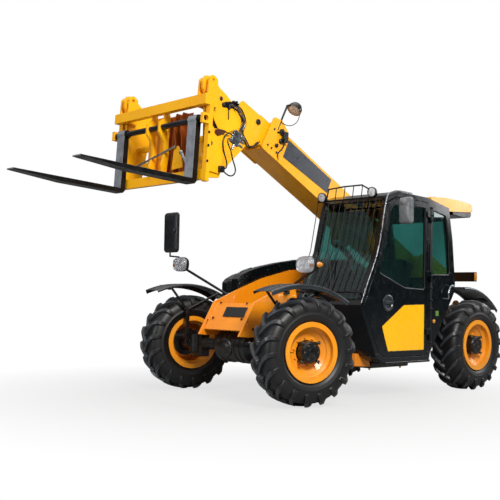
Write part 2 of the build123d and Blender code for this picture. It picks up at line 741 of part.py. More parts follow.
def fork_frame():
    """The fork carrier: two box beams, side posts, waved centre plates and the hook bar."""
    half = CARRIAGE_HALF_WIDTH
    back = -FORK_SHANK - 18
    beams = block(back, -15, -half, half, 668, 762)
    beams += block(back - 40, back, -half + 60, half - 60, 0, 92)
    bar_a, bar_b = carriage_local(*HOOK_BAR)
    hole_a, hole_b = carriage_local(*EAR_HOLE)
    ear = (
        (back + 20, 668),
        (back + 20, 762),
        (hole_a + 45, hole_b + 20),
        (hole_a - 10, hole_b + 45),
        (hole_a - 55, hole_b + 15),
        (bar_a - 55, bar_b + 30),
        (bar_a - 50, bar_b - 45),
    )
    for side in (1, -1):
        low, high = sorted((side * (half - 60), side * half))
        beams += block(back - 40, back, low, high, -20, 700)
        for offset in (18, 150):
            ear_low, ear_high = sorted((side * (half - offset), side * (half - offset - 22)))
            plate = side_slab(ear, ear_low, ear_high, 18)
            plate += cross_rod(hole_a, hole_b, ear_low, ear_high, 45)
            plate -= cross_rod(hole_a, hole_b, ear_low - 1, ear_high + 1, EAR_HOLE_RADIUS)
            beams += plate
        bar_low, bar_high = sorted((side * (half - 18), side * (half - 172)))
        beams += cross_rod(bar_a, bar_b, bar_low, bar_high, HOOK_BAR_RADIUS)
        low, high = sorted((side * (half - 34), side * half))
        beams += block(back - 10, 2, low, high, SHAFT_UP - 45, SHAFT_UP + 45)
    wave = (
        (-110, 690),
        (-40, 690),
        (-60, 640),
        (2, 585),
        (2, 490),
        (-70, 400),
        (-80, 300),
        (-50, 180),
        (-70, 70),
        (-110, 70),
        (-130, 300),
        (-90, 480),
        (-120, 600),
    )
    for y in WAVE_PLATE_Y:
        beams += side_slab(wave, y - 14, y + 14)
    beams -= cross_rod(-SHAFT_BACK, SHAFT_UP, -half - 1, half + 1, SHAFT_RADIUS)
    return on_carriage(beams)


def fork_shaft():
    """The round bar that the forks hang on."""
    half = CARRIAGE_HALF_WIDTH
    return on_carriage(cross_rod(-SHAFT_BACK, SHAFT_UP, -half + 34, half - 34, SHAFT_RADIUS - 0.05))


def fork(y):
    """One fork: shank with its eye round the shaft, heel, and tapered blade."""
    half = FORK_WIDTH / 2
    profile = (
        (-FORK_SHANK, FORK_SHANK_HEIGHT - 60),
        (-FORK_SHANK, -18),
        (-FORK_SHANK + 22, -FORK_BLADE),
        (0.55 * FORK_LENGTH, -FORK_BLADE),
        (FORK_LENGTH, -FORK_TIP),
        (FORK_LENGTH, 0),
        (0, 0),
        (0, FORK_SHANK_HEIGHT),
        (-FORK_SHANK, FORK_SHANK_HEIGHT),
    )
    body = side_slab(profile, y - half, y + half)
    eye = cross_rod(-SHAFT_BACK, SHAFT_UP, y - half, y + half, SHAFT_RADIUS + 16)
    bore = cross_rod(-SHAFT_BACK, SHAFT_UP, y - half - 1, y + half + 1, SHAFT_RADIUS + RUNNING_FIT)
    return on_carriage(body + eye - bore)


# ---------------------------------------------------------------- cylinders
def cylinder_pair(start, end, barrel_radius, rod_radius, barrel_length, rod_start, eye_width):
    """A barrel with its base eye at start and a rod with its eye at end, both (x, z)."""
    span = hypot(end[0] - start[0], end[1] - start[1])
    half = eye_width / 2
    bore = CYLINDER_PIN_RADIUS + RUNNING_FIT
    direction = Vector(end[0] - start[0], 0, end[1] - start[1])
    frame = Location(Plane(origin=(start[0], 0, start[1]), x_dir=direction, z_dir=(0, -1, 0)))
    along = rod((barrel_radius * 0.6, 0, 0), (barrel_length, 0, 0), barrel_radius)
    along -= rod((barrel_radius + 17, 0, 0), (barrel_length + 1, 0, 0), rod_radius + RUNNING_FIT)
    ring = rod((0, 0, -half), (0, 0, half), CYLINDER_EYE_RADIUS)
    barrel = along + ring - rod((0, 0, -half - 1), (0, 0, half + 1), bore)
    stem = rod((rod_start, 0, 0), (span - 10, 0, 0), rod_radius)
    eye = rod((span, 0, -half), (span, 0, half), CYLINDER_EYE_RADIUS)
    return frame * barrel, frame * (stem + eye)


# ---------------------------------------------------------------- cab
def cab_face(inset):
    """The cab's side outline, drawn in by inset."""
    outline = Polygon(*CAB_OUTLINE, align=None)
    if inset:
        outline = offset(outline, amount=-inset, kind=Kind.INTERSECTION)
    return outline


def cab_prism(inset, y_low, y_high):
    """The cab's side outline, drawn in by inset, as a solid between two planes."""
    plane = Plane(origin=(0, y_high, 0), x_dir=(1, 0, 0), z_dir=(0, -1, 0))
    return extrude(plane * cab_face(inset), amount=y_high - y_low, dir=(0, -1, 0))


def door_prism(inset, rear_x, y_low, y_high):
    """The part of the cab's inset side outline ahead of the rear pillar."""
    return cab_prism(inset, y_low, y_high) & block(rear_x, 0, y_low - 1, y_high + 1, 0, 3000)


def cab_pieces():
    """Frame, roof, floor, right wall, glass, door and its glass and lower panel."""
    right = CAB_RIGHT_Y
    left = CAB_LEFT_Y
    wall = CAB_WALL
    inner_left = left - wall
    inner_right = right + wall
    roof_line = ((-900, 2010), (-1130, 2046), (-1290, 2092), (-1800, 2072), (-2400, 1950), (-2400, 2300), (-900, 2300))
    roof_zone = side_slab(roof_line, right - 1, left + 1)
    floor_zone = block(-2400, -600, right - 1, left + 1, 300, FLOOR_TOP)
    step_zone = block(-2400, -600, right - 1, STEP_DECK_Y, 300, STEP_DECK_TOP)
    outer = cab_prism(0, right, left)
    ring = outer - cab_prism(wall, right - 1, left + 1)
    left_wall = cab_prism(wall, inner_left, left)
    door_hole = door_prism(DOOR_INSET, DOOR_REAR_X, inner_left - 1, left + 1)
    quarter = ((-1885, 2000), (-2140, 1950), (-2200, 1690), (-2228, 1300), (-1885, 1290))
    quarter_hole = side_slab(quarter, inner_left - 1, left + 1, 35)
    frame = ring + left_wall - door_hole - quarter_hole
    screen_hole = block(-1200, -600, right + 60, left - 60, 1010, 2040)
    rear_hole = block(-2400, -2150, right + 80, left - 80, 1280, 1900)
    frame = frame - screen_hole - rear_hole - roof_zone - floor_zone - step_zone
    screen = (cab_prism(14, right, left) - cab_prism(14 + GLASS, right, left)) & screen_hole
    rear_glass = (cab_prism(14, right, left) - cab_prism(14 + GLASS, right, left)) & rear_hole
    quarter_glass = side_slab(quarter, left - 20, left - 20 + GLASS, 35)
    right_wall = cab_prism(wall, right, inner_right) - roof_zone - step_zone
    side_window = ((-1015, 1480), (-1145, 1985), (-2120, 1950), (-2180, 1400), (-2160, 1330), (-1050, 1330))
    right_wall -= side_slab(side_window, right - 1, inner_right + 1, 40)
    right_glass = side_slab(side_window, right + 14, right + 14 + GLASS, 40)
    roof = outer & roof_zone
    roof -= block(-2120, -1300, inner_right, inner_left, 1900, 2052)
    floor = (outer & floor_zone) - door_hole
    floor -= block(-1800, -1000, STEP_DECK_Y + 30, inner_left - 30, 420, 600)
    floor -= block(-2400, -600, right - 1, STEP_DECK_Y, 0, 600)
    step = outer & block(-2400, -600, right, STEP_DECK_Y + 30, FLOOR_TOP, STEP_DECK_TOP)
    step -= block(-2400, -600, right - 1, STEP_DECK_Y, 0, STEP_DECK_TOP - 30)
    step -= frame
    floor += step
    door = door_prism(DOOR_INSET + DOOR_GAP, DOOR_REAR_X + DOOR_GAP, inner_left + 2, left)
    window = ((-1765, 1130), (-1420, 1140), (-985, 1290), (-1080, 1560), (-1170, 1950), (-1230, 2000), (-1765, 2012))
    window_hole = side_slab(window, inner_left - 1, left + 1, 30)
    door -= window_hole
    door_glass = side_slab(window, left - 20, left - 20 + GLASS, 30)
    panel = ((-1040, 746), (-1140, 490), (-1750, 490), (-1750, 973), (-1398, 964))
    door -= side_slab(panel, left - 4, left + 1, 12)
    door_panel = side_slab(panel, left - 4, left - 0.5, 12)
    hinge_x, hinge_y = DOOR_HINGE
    for z in (620.0, 1240.0, 1880.0):
        knuckle_low = Pos(hinge_x, hinge_y, z) * Cylinder(HINGE_RADIUS, 60)
        pin = Pos(hinge_x, hinge_y, z + 20) * Cylinder(HINGE_PIN_RADIUS, 100)
        frame += knuckle_low + pin + block(hinge_x - 20, hinge_x, left - 5, hinge_y, z - 30, z + 30)
        leaf = Pos(hinge_x, hinge_y, z + 61) * Cylinder(HINGE_RADIUS, 60)
        leaf += block(hinge_x, DOOR_REAR_X + 30, hinge_y - 3, hinge_y + 5, z + 31, z + 91)
        leaf += block(DOOR_REAR_X + DOOR_GAP, DOOR_REAR_X + 30, left - 2, hinge_y, z + 31, z + 91)
        leaf -= Pos(hinge_x, hinge_y, z + 50) * Cylinder(HINGE_PIN_RADIUS + RUNNING_FIT, 100)
        door += leaf
    return {
        "cab_frame": frame,
        "cab_right_wall": right_wall,
        "cab_roof": roof,
        "cab_floor": floor,
        "cab_windows": Compound([screen, rear_glass, quarter_glass, right_glass]),
        "cab_door": door,
        "door_glass": door_glass,
        "door_panel": door_panel,
    }


def cab_fittings():
    """Seat, dashboard, steering wheel, screen guard, roof cowl."""
    seat_y = 640.0
    base = block(-1700, -1340, seat_y - 210, seat_y + 210, FLOOR_TOP - 50 + SEAT_GAP, 800)
    cushion = block(-1760, -1280, seat_y - 240, seat_y + 240, 800 + SEAT_GAP, 900)
    back = side_slab(((-1765, 900 + SEAT_GAP), (-1660, 900 + SEAT_GAP), (-1780, 1480), (-1870, 1480)), seat_y - 220, seat_y + 220)
    dash = side_slab(((-1000, FLOOR_TOP + SEAT_GAP), (-1100, FLOOR_TOP + SEAT_GAP), (-1130, 1000), (-1030, 1060), (-830, 1000), (-860, 800)), 430, 1000)
    wheel_centre = Pos(-1240, seat_y, 1090) * Rot(0, -55, 0)
    rim_ring = Torus(185, 14)
    wheel = rim_ring + Cylinder(40, 26)
    for angle in (0, 120, 240):
        wheel += Rot(0, 0, angle) * Pos(95, 0, 0) * Box(165, 26, 12)
    column = Pos(0, 0, -85) * Cylinder(24, 150)
    wheel = wheel_centre * (wheel + column)
    dash -= wheel_centre * Pos(0, 0, -90) * Cylinder(24.3, 200)
    cowl = side_slab(
        ((-2000, 2060), (-2000, 2150), (-2060, 2165), (-2740, 2115), (-2785, 2085), (-2780, 2045), (-2200, 2015)),
        CAB_RIGHT_Y + 60,
        CAB_LEFT_Y - 100,
    )
    cowl -= cab_prism(-SEAT_GAP, 0, 1200)
    return {
        "seat_base": base,
        "seat_cushions": Compound([cushion, back]),
        "dashboard": dash,
        "steering_wheel": wheel,
        "roof_cowl": cowl,
    }


def screen_guard():
    """Upright bars before the windscreen between two rails, with a hoop above the roof edge."""
    low = (-672.0, 1085.0)
    knee = (-872.0, 1520.0)
    high = (-985.0, 2060.0)
    right = CAB_RIGHT_Y + 30
    left = CAB_LEFT_Y - 40
    guard = cross_rod(*low, right, left, 9)
    guard += cross_rod(*high, right, left, 9)
    count = GUARD_BAR_COUNT
    for index in range(count + 1):
        y = right + 9 + (left - right - 18) * index / count
        guard += rod((low[0], y, low[1]), (knee[0], y, knee[1]), GUARD_BAR_RADIUS)
        guard += rod((knee[0], y, knee[1]), (high[0], y, high[1]), GUARD_BAR_RADIUS)
    hoop_x = high[0] - 20
    hoop = [(hoop_x, right + reach, z) for reach, z in GUARD_HOOP]
    hoop[0] = (high[0], hoop[0][1], high[1])
    hoop[-1] = (high[0], hoop[-1][1], high[1])
    for start, end in zip(hoop, hoop[1:]):
        guard += rod(start, end, 8)
        guard += Pos(*end) * Sphere(8)
    for index in range(4):
        y = right + 250 + index * 120
        guard += rod((high[0], y, high[1]), (hoop_x, y, GUARD_HOOP[2][1] - 4), 5)
    for y in (right + 12, left - 12):
        guard += block(-1103, high[0], y - 10, y + 10, high[1] - 5, high[1] + 5)
        guard += block(-755, low[0], y - 10, y + 10, low[1] - 5, low[1] + 5)
    return guard - cab_prism(-SEAT_GAP, 0, 1200)


# ---------------------------------------------------------------- engine bay
def bay_pieces():
    """The engine, the bay under it and the bonnet that lifts about its rear edge."""
    inner = BAY_INNER_Y
    outer = BAY_OUTER_Y
    front = BAY_FRONT_X
    rear = BAY_REAR_X
    split = BONNET_SPLIT_Z
    lower = ((front, 620), (front, split - 4), (rear, split - 4), (rear + 240, 430), (front - 120, 430))
    bay = side_slab(lower, outer, inner)
    bay -= side_slab(
        ((front - 30, 640), (front - 30, split), (rear + 32, split), (rear + 262, 460), (front - 140, 460)),
        outer + 30,
        inner - 30,
    )
    engine = block(-1900, -1080, outer + 130, inner - 130, 520, 1040)
    engine += block(-1500, -1400, inner - 140, inner - 30, 600, 700)
    lip_y = BONNET_LIP_Y
    skin = BONNET_SKIN
    bonnet = side_slab(((-360, split), *BONNET_INNER_TOP, (rear, split)), lip_y, inner)
    bonnet += side_slab(((front - 2, split), *BONNET_OUTER_TOP, (rear, split)), outer, lip_y)
    floor_z = split - 10
    inner_cavity = [(x - 12, z - 16) for x, z in BONNET_INNER_TOP[:-1]]
    inner_cavity += [(rear + skin, BONNET_INNER_TOP[-1][1] - 16), (rear + skin, floor_z)]
    bonnet -= side_slab(((-384, floor_z), *inner_cavity), lip_y + skin, inner - skin)
    outer_cavity = [(x - 12, z - 16) for x, z in BONNET_OUTER_TOP[:-1]]
    outer_cavity += [(rear + skin, BONNET_OUTER_TOP[-1][1] - 16), (rear + skin, floor_z)]
    bonnet -= side_slab(((front - 14, floor_z), *outer_cavity), outer + skin, lip_y + skin + 1)
    hinge_x, hinge_z = BONNET_HINGE
    for y in (inner - 150, outer + 150):
        bay += block(rear - 30, rear, y - 20, y + 20, split - 60, hinge_z - 14)
        bay += cross_rod(hinge_x, hinge_z, y - 20, y + 20, 14)
        bay += block(rear - 30, hinge_x + 10, y - 20, y + 20, hinge_z - 40, hinge_z)
        bay += cross_rod(hinge_x, hinge_z, y - 20, y + 45, 7)
        leaf = cross_rod(hinge_x, hinge_z, y + 21, y + 45, 14)
        leaf += block(hinge_x, rear + 6, y + 21, y + 45, hinge_z - 6, hinge_z + 14)
        leaf -= cross_rod(hinge_x, hinge_z, y - 30, y + 46, 7 + RUNNING_FIT)
        bonnet += leaf
    return {"engine_bay": bay, "engine_block": engine, "engine_bonnet": bonnet}


# ---------------------------------------------------------------- lamps, mirrors, tank
def lamp_body(grown):
    """A headlamp's shell with rounded corners, grown all round."""
    depth, width, height = LAMP_SIZE
    shell = Box(depth + 2 * grown, width + 2 * grown, height + 2 * grown)
    return fillet(shell.edges().filter_by(Axis.X), LAMP_CORNER_RADIUS + grown)


def outfit_pieces():
    """Lamp arms, headlamps, mirrors, rear lamp bars and the tank under the cab."""
    arms = []
    lamps = []
    mirrors = []
    bars = []
    root_y = PLATE_INNER_Y + PLATE_THICKNESS + SEAT_GAP
    for side, root_x, root_z, lamp_x, lamp_z in LAMPS:
        root = (root_x, side * (root_y + 15), root_z)
        knee = (root_x + 30, side * (root_y + 60), root_z + 25)
        tip = (lamp_x - 65, side * 1090.0, lamp_z - 15)
        foot_y = sorted((side * root_y, side * (root_y + 16)))
        foot = block(root_x - 38, root_x + 38, *foot_y, root_z - 32, root_z + 32)
        arm = foot + rod(root, knee, 16) + rod(knee, tip, 14) + Pos(*knee) * Sphere(17)
        lamp_y = side * 970.0
        along = (lamp_y - knee[1]) / (tip[1] - knee[1])
        fork_x = knee[0] + (tip[0] - knee[0]) * along
        fork_z = knee[2] + (tip[2] - knee[2]) * along
        arm += rod((fork_x, lamp_y, fork_z), (lamp_x - 20, lamp_y, lamp_z - 15), 12)
        lamp = Pos(lamp_x, lamp_y, lamp_z) * lamp_body(0)
        arm -= Pos(lamp_x, lamp_y, lamp_z) * lamp_body(SEAT_GAP)
        if side < 0:
            bend = (tip[0], -1100.0, tip[2] + 95)
            stay = (tip[0] - 30, -1300.0, tip[2] + 105)
            arm += rod(tip, bend, 11) + rod((*bend[:2], bend[2] - 5), stay, 9)
            arm += rod((stay[0], stay[1], stay[2] - 5), (stay[0], stay[1], 1515), 9)
            mirror_box = block(stay[0] - 25, stay[0] + 5, -1455, -1175, 1510 + SEAT_GAP, 1975)
            arm -= mirror_box
            mirrors.append(fillet(mirror_box.edges().filter_by(Axis.X), 50))
        arms.append(arm)
        lamps.append(lamp)
    left_bracket = rod((-1090, CAB_LEFT_Y - 10, 2010), (-1075, CAB_LEFT_Y + 150, 2060), 9)
    left_bracket += rod((-1075, CAB_LEFT_Y + 140, 2058), (-1050, CAB_LEFT_Y + 240, 2040), 9)
    left_bracket -= cab_prism(-SEAT_GAP, 0, CAB_LEFT_Y + SEAT_GAP)
    left_mirror = block(-1065, -1035, CAB_LEFT_Y + 140, 1450, 1775, 2045)
    left_mirror = fillet(left_mirror.edges().filter_by(Axis.X), 35)
    left_bracket -= left_mirror
    arms.append(left_bracket)
    mirrors.append(left_mirror)
    for side in (1, -1):
        low, high = sorted((side * root_y, side * 720.0))
        bars.append(block(-3330, -3270, low, high, 1255, 1370))
    tank = block(-1780, -1150, PLATE_INNER_Y + PLATE_THICKNESS + SEAT_GAP, 862, 300, 375 - SEAT_GAP)
    tank = fillet(tank.edges().filter_by(Axis.X), 25)
    return {
        "lamp_arms": Compound(arms),
        "headlamps": Compound(lamps),
        "mirrors": Compound(mirrors),
        "rear_lamp_bars": Compound(bars),
        "fuel_tank": tank,
    }


def build():
    """Every piece by its node's name."""
    pieces = corner_pieces()
    pieces["front_axle"] = axle(FRONT_WHEEL_X)
    pieces["rear_axle"] = axle(REAR_WHEEL_X)
    pieces.update(chassis_pieces())
    pieces["transmission"] = transmission()
    pieces["outer_boom"] = outer_boom()
    pieces["inner_boom"] = inner_boom()
    pieces.update(hitch_pieces())
    pieces["fork_frame"] = fork_frame()
    pieces["fork_shaft"] = fork_shaft()
    pieces["left_fork"] = fork(FORK_CENTRE_Y)
    pieces["right_fork"] = fork(-FORK_CENTRE_Y)
    lift = cylinder_pair(
        LIFT_BASE, boom_point(*LIFT_LUG), LIFT_BARREL_RADIUS, LIFT_ROD_RADIUS, LIFT_BARREL_LENGTH, LIFT_ROD_START, 90.0
    )
    pieces["lift_cylinder"], pieces["lift_rod"] = lift
    tilt = cylinder_pair(
        boom_point(*TILT_BASE), boom_point(*TILT_LEVER), TILT_BARREL_RADIUS, TILT_ROD_RADIUS, TILT_BARREL_LENGTH, TILT_ROD_START, 80.0
    )
    pieces["tilt_cylinder"], pieces["tilt_rod"] = tilt
    pieces.update(cab_pieces())
    pieces.update(cab_fittings())
    pieces["screen_guard"] = screen_guard()
    pieces.update(bay_pieces())
    pieces.update(outfit_pieces())
    return pieces


def main():
    os.makedirs("parts", exist_ok=True)
    for name, shape in build().items():
        export_step(Pos(DATUM_X, 0, 0) * shape, f"parts/{name}.step")
        print(name, len(shape.solids()))


if __name__ == "__main__":
    main()
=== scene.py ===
import json
import math

import bmesh
import bpy
from mathutils import Matrix, Vector, noise


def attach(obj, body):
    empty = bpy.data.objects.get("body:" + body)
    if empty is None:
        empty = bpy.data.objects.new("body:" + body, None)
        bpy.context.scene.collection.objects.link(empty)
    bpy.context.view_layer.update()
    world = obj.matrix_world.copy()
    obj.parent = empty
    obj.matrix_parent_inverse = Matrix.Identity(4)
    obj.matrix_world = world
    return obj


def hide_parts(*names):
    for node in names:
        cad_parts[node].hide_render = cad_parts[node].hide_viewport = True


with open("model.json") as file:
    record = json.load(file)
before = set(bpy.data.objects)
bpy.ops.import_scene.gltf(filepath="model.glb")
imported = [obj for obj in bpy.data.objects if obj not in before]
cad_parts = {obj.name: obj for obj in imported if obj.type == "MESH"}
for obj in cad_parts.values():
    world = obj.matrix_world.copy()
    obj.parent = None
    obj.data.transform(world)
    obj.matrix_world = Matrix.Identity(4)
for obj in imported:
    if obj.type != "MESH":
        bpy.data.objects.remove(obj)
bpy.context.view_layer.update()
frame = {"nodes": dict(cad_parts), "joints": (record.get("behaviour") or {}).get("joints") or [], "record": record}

RECORD = frame["record"]
JOINTS = {joint["name"]: joint for joint in frame["joints"]}
MOUNTS = {mount["name"]: mount for mount in RECORD["mounts"]}
CORNERS = ("front_left", "front_right", "rear_left", "rear_right")

# Details are placed in the CAD's layout frame, whose boom pivot stands at x -2.85 m.
DATUM_X = JOINTS["boom_lift"]["pos_m"][0] + 2.85
BOOM_PIVOT = Vector(JOINTS["boom_lift"]["pos_m"])
BOOM_ALONG = Vector(JOINTS["boom_extend"]["axis"])
BOOM_UP = Vector((-BOOM_ALONG.z, 0, BOOM_ALONG.x))
FORK_UP = Vector(MOUNTS["left_fork_top"]["axis"])
FORK_ALONG = Vector((FORK_UP.z, 0, -FORK_UP.x))
FORK_HEEL = Vector(MOUNTS["left_fork_top"]["pos_m"]) - FORK_ALONG * 0.5
FORK_HEEL.y = 0


def at(x, y, z):
    """A point of the layout frame, in the row frame."""
    return Vector((x + DATUM_X, y, z))


def on_boom(u, y, w):
    """A point u along the boom from its pivot, w above it."""
    return BOOM_PIVOT + BOOM_ALONG * u + BOOM_UP * w + Vector((0, y, 0))


def on_forks(a, y, b):
    """A point a ahead of the fork heels, b above them."""
    return FORK_HEEL + FORK_ALONG * a + FORK_UP * b + Vector((0, y, 0))


def side_on(y, outline):
    """Points of the layout frame from (x, z) pairs in the plane at y."""
    return [at(x, y, z) for x, z in outline]


def circle(centre, first, second, radius, sides):
    """Points round a centre, spanned by two unit vectors."""
    turns = [math.tau * k / sides for k in range(sides)]
    return [centre + (first * math.cos(turn) + second * math.sin(turn)) * radius for turn in turns]


def link_object(name, data):
    thing = bpy.data.objects.new(name, data)
    bpy.context.collection.objects.link(thing)
    return thing


# ------------------------------------------------------------------ materials
DUST = (120, 104, 82)


def linear(colour):
    """0-255 sRGB to linear."""
    values = []
    for part in colour:
        part /= 255
        values.append(part / 12.92 if part < 0.04045 else ((part + 0.055) / 1.055) ** 2.4)
    return (*values, 1.0)


class Nodes:
    """A material's node tree with short calls for the nodes used here."""

    def __init__(self, name):
        self.material = bpy.data.materials.new(name)
        self.material.use_nodes = True
        self.tree = self.material.node_tree
        self.shader = self.tree.nodes["Principled BSDF"]
        self.coordinates = self.new("TexCoord").outputs["Object"]

    def link(self, source, target):
        self.tree.links.new(source, target)

    def new(self, kind):
        return self.tree.nodes.new(f"ShaderNode{kind}")

    def feed(self, socket, value):
        """Links another socket in, or sets a plain value."""
        if isinstance(value, bpy.types.NodeSocket):
            self.link(value, socket)
        else:
            socket.default_value = value

    def set(self, **values):
        for name, value in values.items():
            self.feed(self.shader.inputs[name.replace("_", " ")], value)

    def noise(self, scale, detail=3.0, rough=0.55, coordinates=None):
        node = self.new("TexNoise")
        node.inputs["Scale"].default_value = scale
        node.inputs["Detail"].default_value = detail
        node.inputs["Roughness"].default_value = rough
        self.link(coordinates or self.coordinates, node.inputs["Vector"])
        return node.outputs["Fac"]

    def spread(self, source, low, high, to_low=0.0, to_high=1.0):
        node = self.new("MapRange")
        for name, value in (("From Min", low), ("From Max", high), ("To Min", to_low), ("To Max", to_high)):
            node.inputs[name].default_value = value
        self.link(source, node.inputs["Value"])
        return node.outputs["Result"]

    def math(self, operation, first, second=0.5):
        node = self.new("Math")
        node.operation = operation
        for socket, value in zip(node.inputs, (first, second)):
            self.feed(socket, value)
        return node.outputs["Value"]

    def mix(self, factor, first, second):
        node = self.new("Mix")
        node.data_type = "RGBA"
        sockets = (node.inputs["Factor"], node.inputs[6], node.inputs[7])
        for socket, value in zip(sockets, (factor, first, second)):
            self.feed(socket, value)
        return node.outputs[2]

    def rounded(self, radius=0.004):
        node = self.new("Bevel")
        node.samples = 4
        node.inputs["Radius"].default_value = radius
        return node.outputs["Normal"]

    def edge(self, radius=0.006):
        """1 along sharp edges, 0 on flat faces."""
        geometry = self.new("NewGeometry")
        dot = self.new("VectorMath")
        dot.operation = "DOT_PRODUCT"
        self.link(geometry.outputs["Normal"], dot.inputs[0])
        self.link(self.rounded(radius), dot.inputs[1])
        return self.spread(dot.outputs["Value"], 0.99, 0.8)

    def bump(self, height, strength, distance=0.001, normal=None):
        node = self.new("Bump")
        node.inputs["Strength"].default_value = strength
        node.inputs["Distance"].default_value = distance
        self.link(height, node.inputs["Height"])
        if normal is not None:
            self.link(normal, node.inputs["Normal"])
        return node.outputs["Normal"]

    def height(self):
        node = self.new("SeparateXYZ")
        self.link(self.coordinates, node.inputs[0])
        return node.outputs["Z"]


def paint(
    name, colour, shade, worn, roughness=0.32, coat=0.35, radius=0.004, chips=0.5, dust=0.15, specular=0.4,
):
    """Sprayed metal: soft colour drift, fine peel, chipped edges, dust low down."""
    n = Nodes(name)
    drift = n.spread(n.noise(1.3, 4.0), 0.35, 0.7)
    base = n.mix(drift, linear(colour), linear(shade))
    specks = n.spread(n.noise(90.0, 5.0), 0.66, 0.72)
    base = n.mix(n.math("MULTIPLY", specks, 0.18), base, linear(worn))
    chipped = n.math("MULTIPLY", n.edge(0.0045), n.spread(n.noise(26.0, 6.0, 0.7), 0.5, 0.6))
    base = n.mix(n.math("MULTIPLY", chipped, chips), base, linear(worn))
    low = n.spread(n.height(), 1.0, 0.15)
    dirt = n.math("MULTIPLY", low, n.spread(n.noise(7.0, 6.0, 0.7), 0.4, 0.75))
    base = n.mix(n.math("MULTIPLY", dirt, dust), base, linear(DUST))
    rough = n.spread(n.noise(14.0, 4.0), 0.3, 0.7, roughness - 0.06, roughness + 0.1)
    rough = n.math("ADD", rough, n.math("MULTIPLY", dirt, dust * 1.2))
    normal = n.bump(n.noise(240.0, 2.0), 0.02, 0.001, n.rounded(radius))
    n.set(
        Base_Color=base, Roughness=rough, Normal=normal, Coat_Weight=coat, Coat_Roughness=0.08,
        Specular_IOR_Level=specular,
    )
    return n.material


def plain_metal(name, colour, dark, roughness, stretch=(1, 1, 1), radius=0.003):
    """Bare or plated metal with drawn streaks."""
    n = Nodes(name)
    mapping = n.new("Mapping")
    mapping.inputs["Scale"].default_value = stretch
    n.link(n.coordinates, mapping.inputs["Vector"])
    streaks = n.noise(60.0, 5.0, 0.6, mapping.outputs["Vector"])
    base = n.mix(n.spread(streaks, 0.3, 0.75), linear(colour), linear(dark))
    rough = n.spread(n.noise(20.0, 4.0), 0.3, 0.7, roughness - 0.05, roughness + 0.12)
    n.set(
        Base_Color=base, Roughness=rough, Metallic=1.0, Normal=n.bump(streaks, 0.05, 0.001, n.rounded(radius)),
    )
    return n.material


def moulded(name, colour, pale, roughness=0.5, grain=380.0, depth=0.25, radius=0.004, specular=0.5):
    """Textured plastic or rubber."""
    n = Nodes(name)
    base = n.mix(n.spread(n.noise(5.0, 5.0), 0.35, 0.75), linear(colour), linear(pale))
    scuffs = n.math("MULTIPLY", n.edge(0.005), n.spread(n.noise(40.0, 5.0), 0.45, 0.6))
    base = n.mix(n.math("MULTIPLY", scuffs, 0.35), base, linear([min(255, part * 2 + 30) for part in pale]))
    rough = n.spread(n.noise(18.0, 4.0), 0.3, 0.7, roughness - 0.08, roughness + 0.1)
    normal = n.bump(n.noise(grain, 3.0), depth, 0.0006, n.rounded(radius))
    n.set(Base_Color=base, Roughness=rough, Normal=normal, Specular_IOR_Level=specular)
    return n.material


def glass(name, colour, roughness=0.02):
    """Tinted glass with faint smears."""
    n = Nodes(name)
    base = n.mix(
        n.spread(n.noise(1.6, 3.0), 0.35, 0.7), linear(colour), linear([part * 0.86 for part in colour]),
    )
    smear = n.spread(n.noise(6.0, 6.0, 0.7), 0.45, 0.8, roughness, roughness + 0.05)
    n.set(Base_Color=base, Roughness=smear, Transmission_Weight=1.0, IOR=1.45)
    return n.material


def tyre_material():
    """Tyre rubber: near black in the gaps; a painted highlight on the lug crests, greyer and smoother, patchy like
    wear.
    """
    n = Nodes("tyre_rubber")
    crest = n.new("Attribute")
    crest.attribute_name = "crest"
    # painted highlight: the lug crests are mixed towards light grey, in patches like wear
    worn = n.math("MULTIPLY", crest.outputs["Fac"], n.spread(n.noise(14.0, 5.0), 0.25, 0.75, 0.5, 1.0))
    base = n.mix(n.spread(n.noise(6.0, 5.0), 0.35, 0.75), linear((5, 6, 7)), linear((11, 12, 14)))
    base = n.mix(worn, base, linear((58, 61, 66)))
    rough = n.spread(worn, 0.0, 1.0, 0.46, 0.27)
    normal = n.bump(n.noise(420.0, 3.0), 0.3, 0.0006, n.rounded(0.003))
    n.set(Base_Color=base, Roughness=rough, Normal=normal, Specular_IOR_Level=0.5)
    return n.material


def cloth_material(name, colour, pale):
    """Woven seat cloth."""
    n = Nodes(name)
    weave = n.new("TexWave")
    weave.inputs["Scale"].default_value = 160.0
    weave.inputs["Distortion"].default_value = 0.6
    n.link(n.coordinates, weave.inputs["Vector"])
    cross = n.new("TexWave")
    cross.bands_direction = "Y"
    cross.inputs["Scale"].default_value = 160.0
    n.link(n.coordinates, cross.inputs["Vector"])
    threads = n.math("MULTIPLY", weave.outputs["Fac"], cross.outputs["Fac"])
    base = n.mix(threads, linear(colour), linear(pale))
    base = n.mix(n.spread(n.noise(9.0, 5.0), 0.5, 0.8, 0.0, 0.4), base, linear(colour))
    n.set(Base_Color=base, Roughness=0.9, Normal=n.bump(threads, 0.5, 0.001), Sheen_Weight=0.3)
    return n.material


def lens(name, colour, clear=0.25):
    """Ribbed lamp plastic."""
    n = Nodes(name)
    ribs = n.new("TexWave")
    ribs.inputs["Scale"].default_value = 55.0
    n.link(n.coordinates, ribs.inputs["Vector"])
    base = n.mix(n.spread(n.noise(30.0), 0.3, 0.7), linear(colour), linear([part * 0.7 for part in colour]))
    normal = n.bump(ribs.outputs["Fac"], 0.4, 0.002)
    n.set(Base_Color=base, Roughness=0.12, Normal=normal, Transmission_Weight=clear, Coat_Weight=0.6)
    return n.material


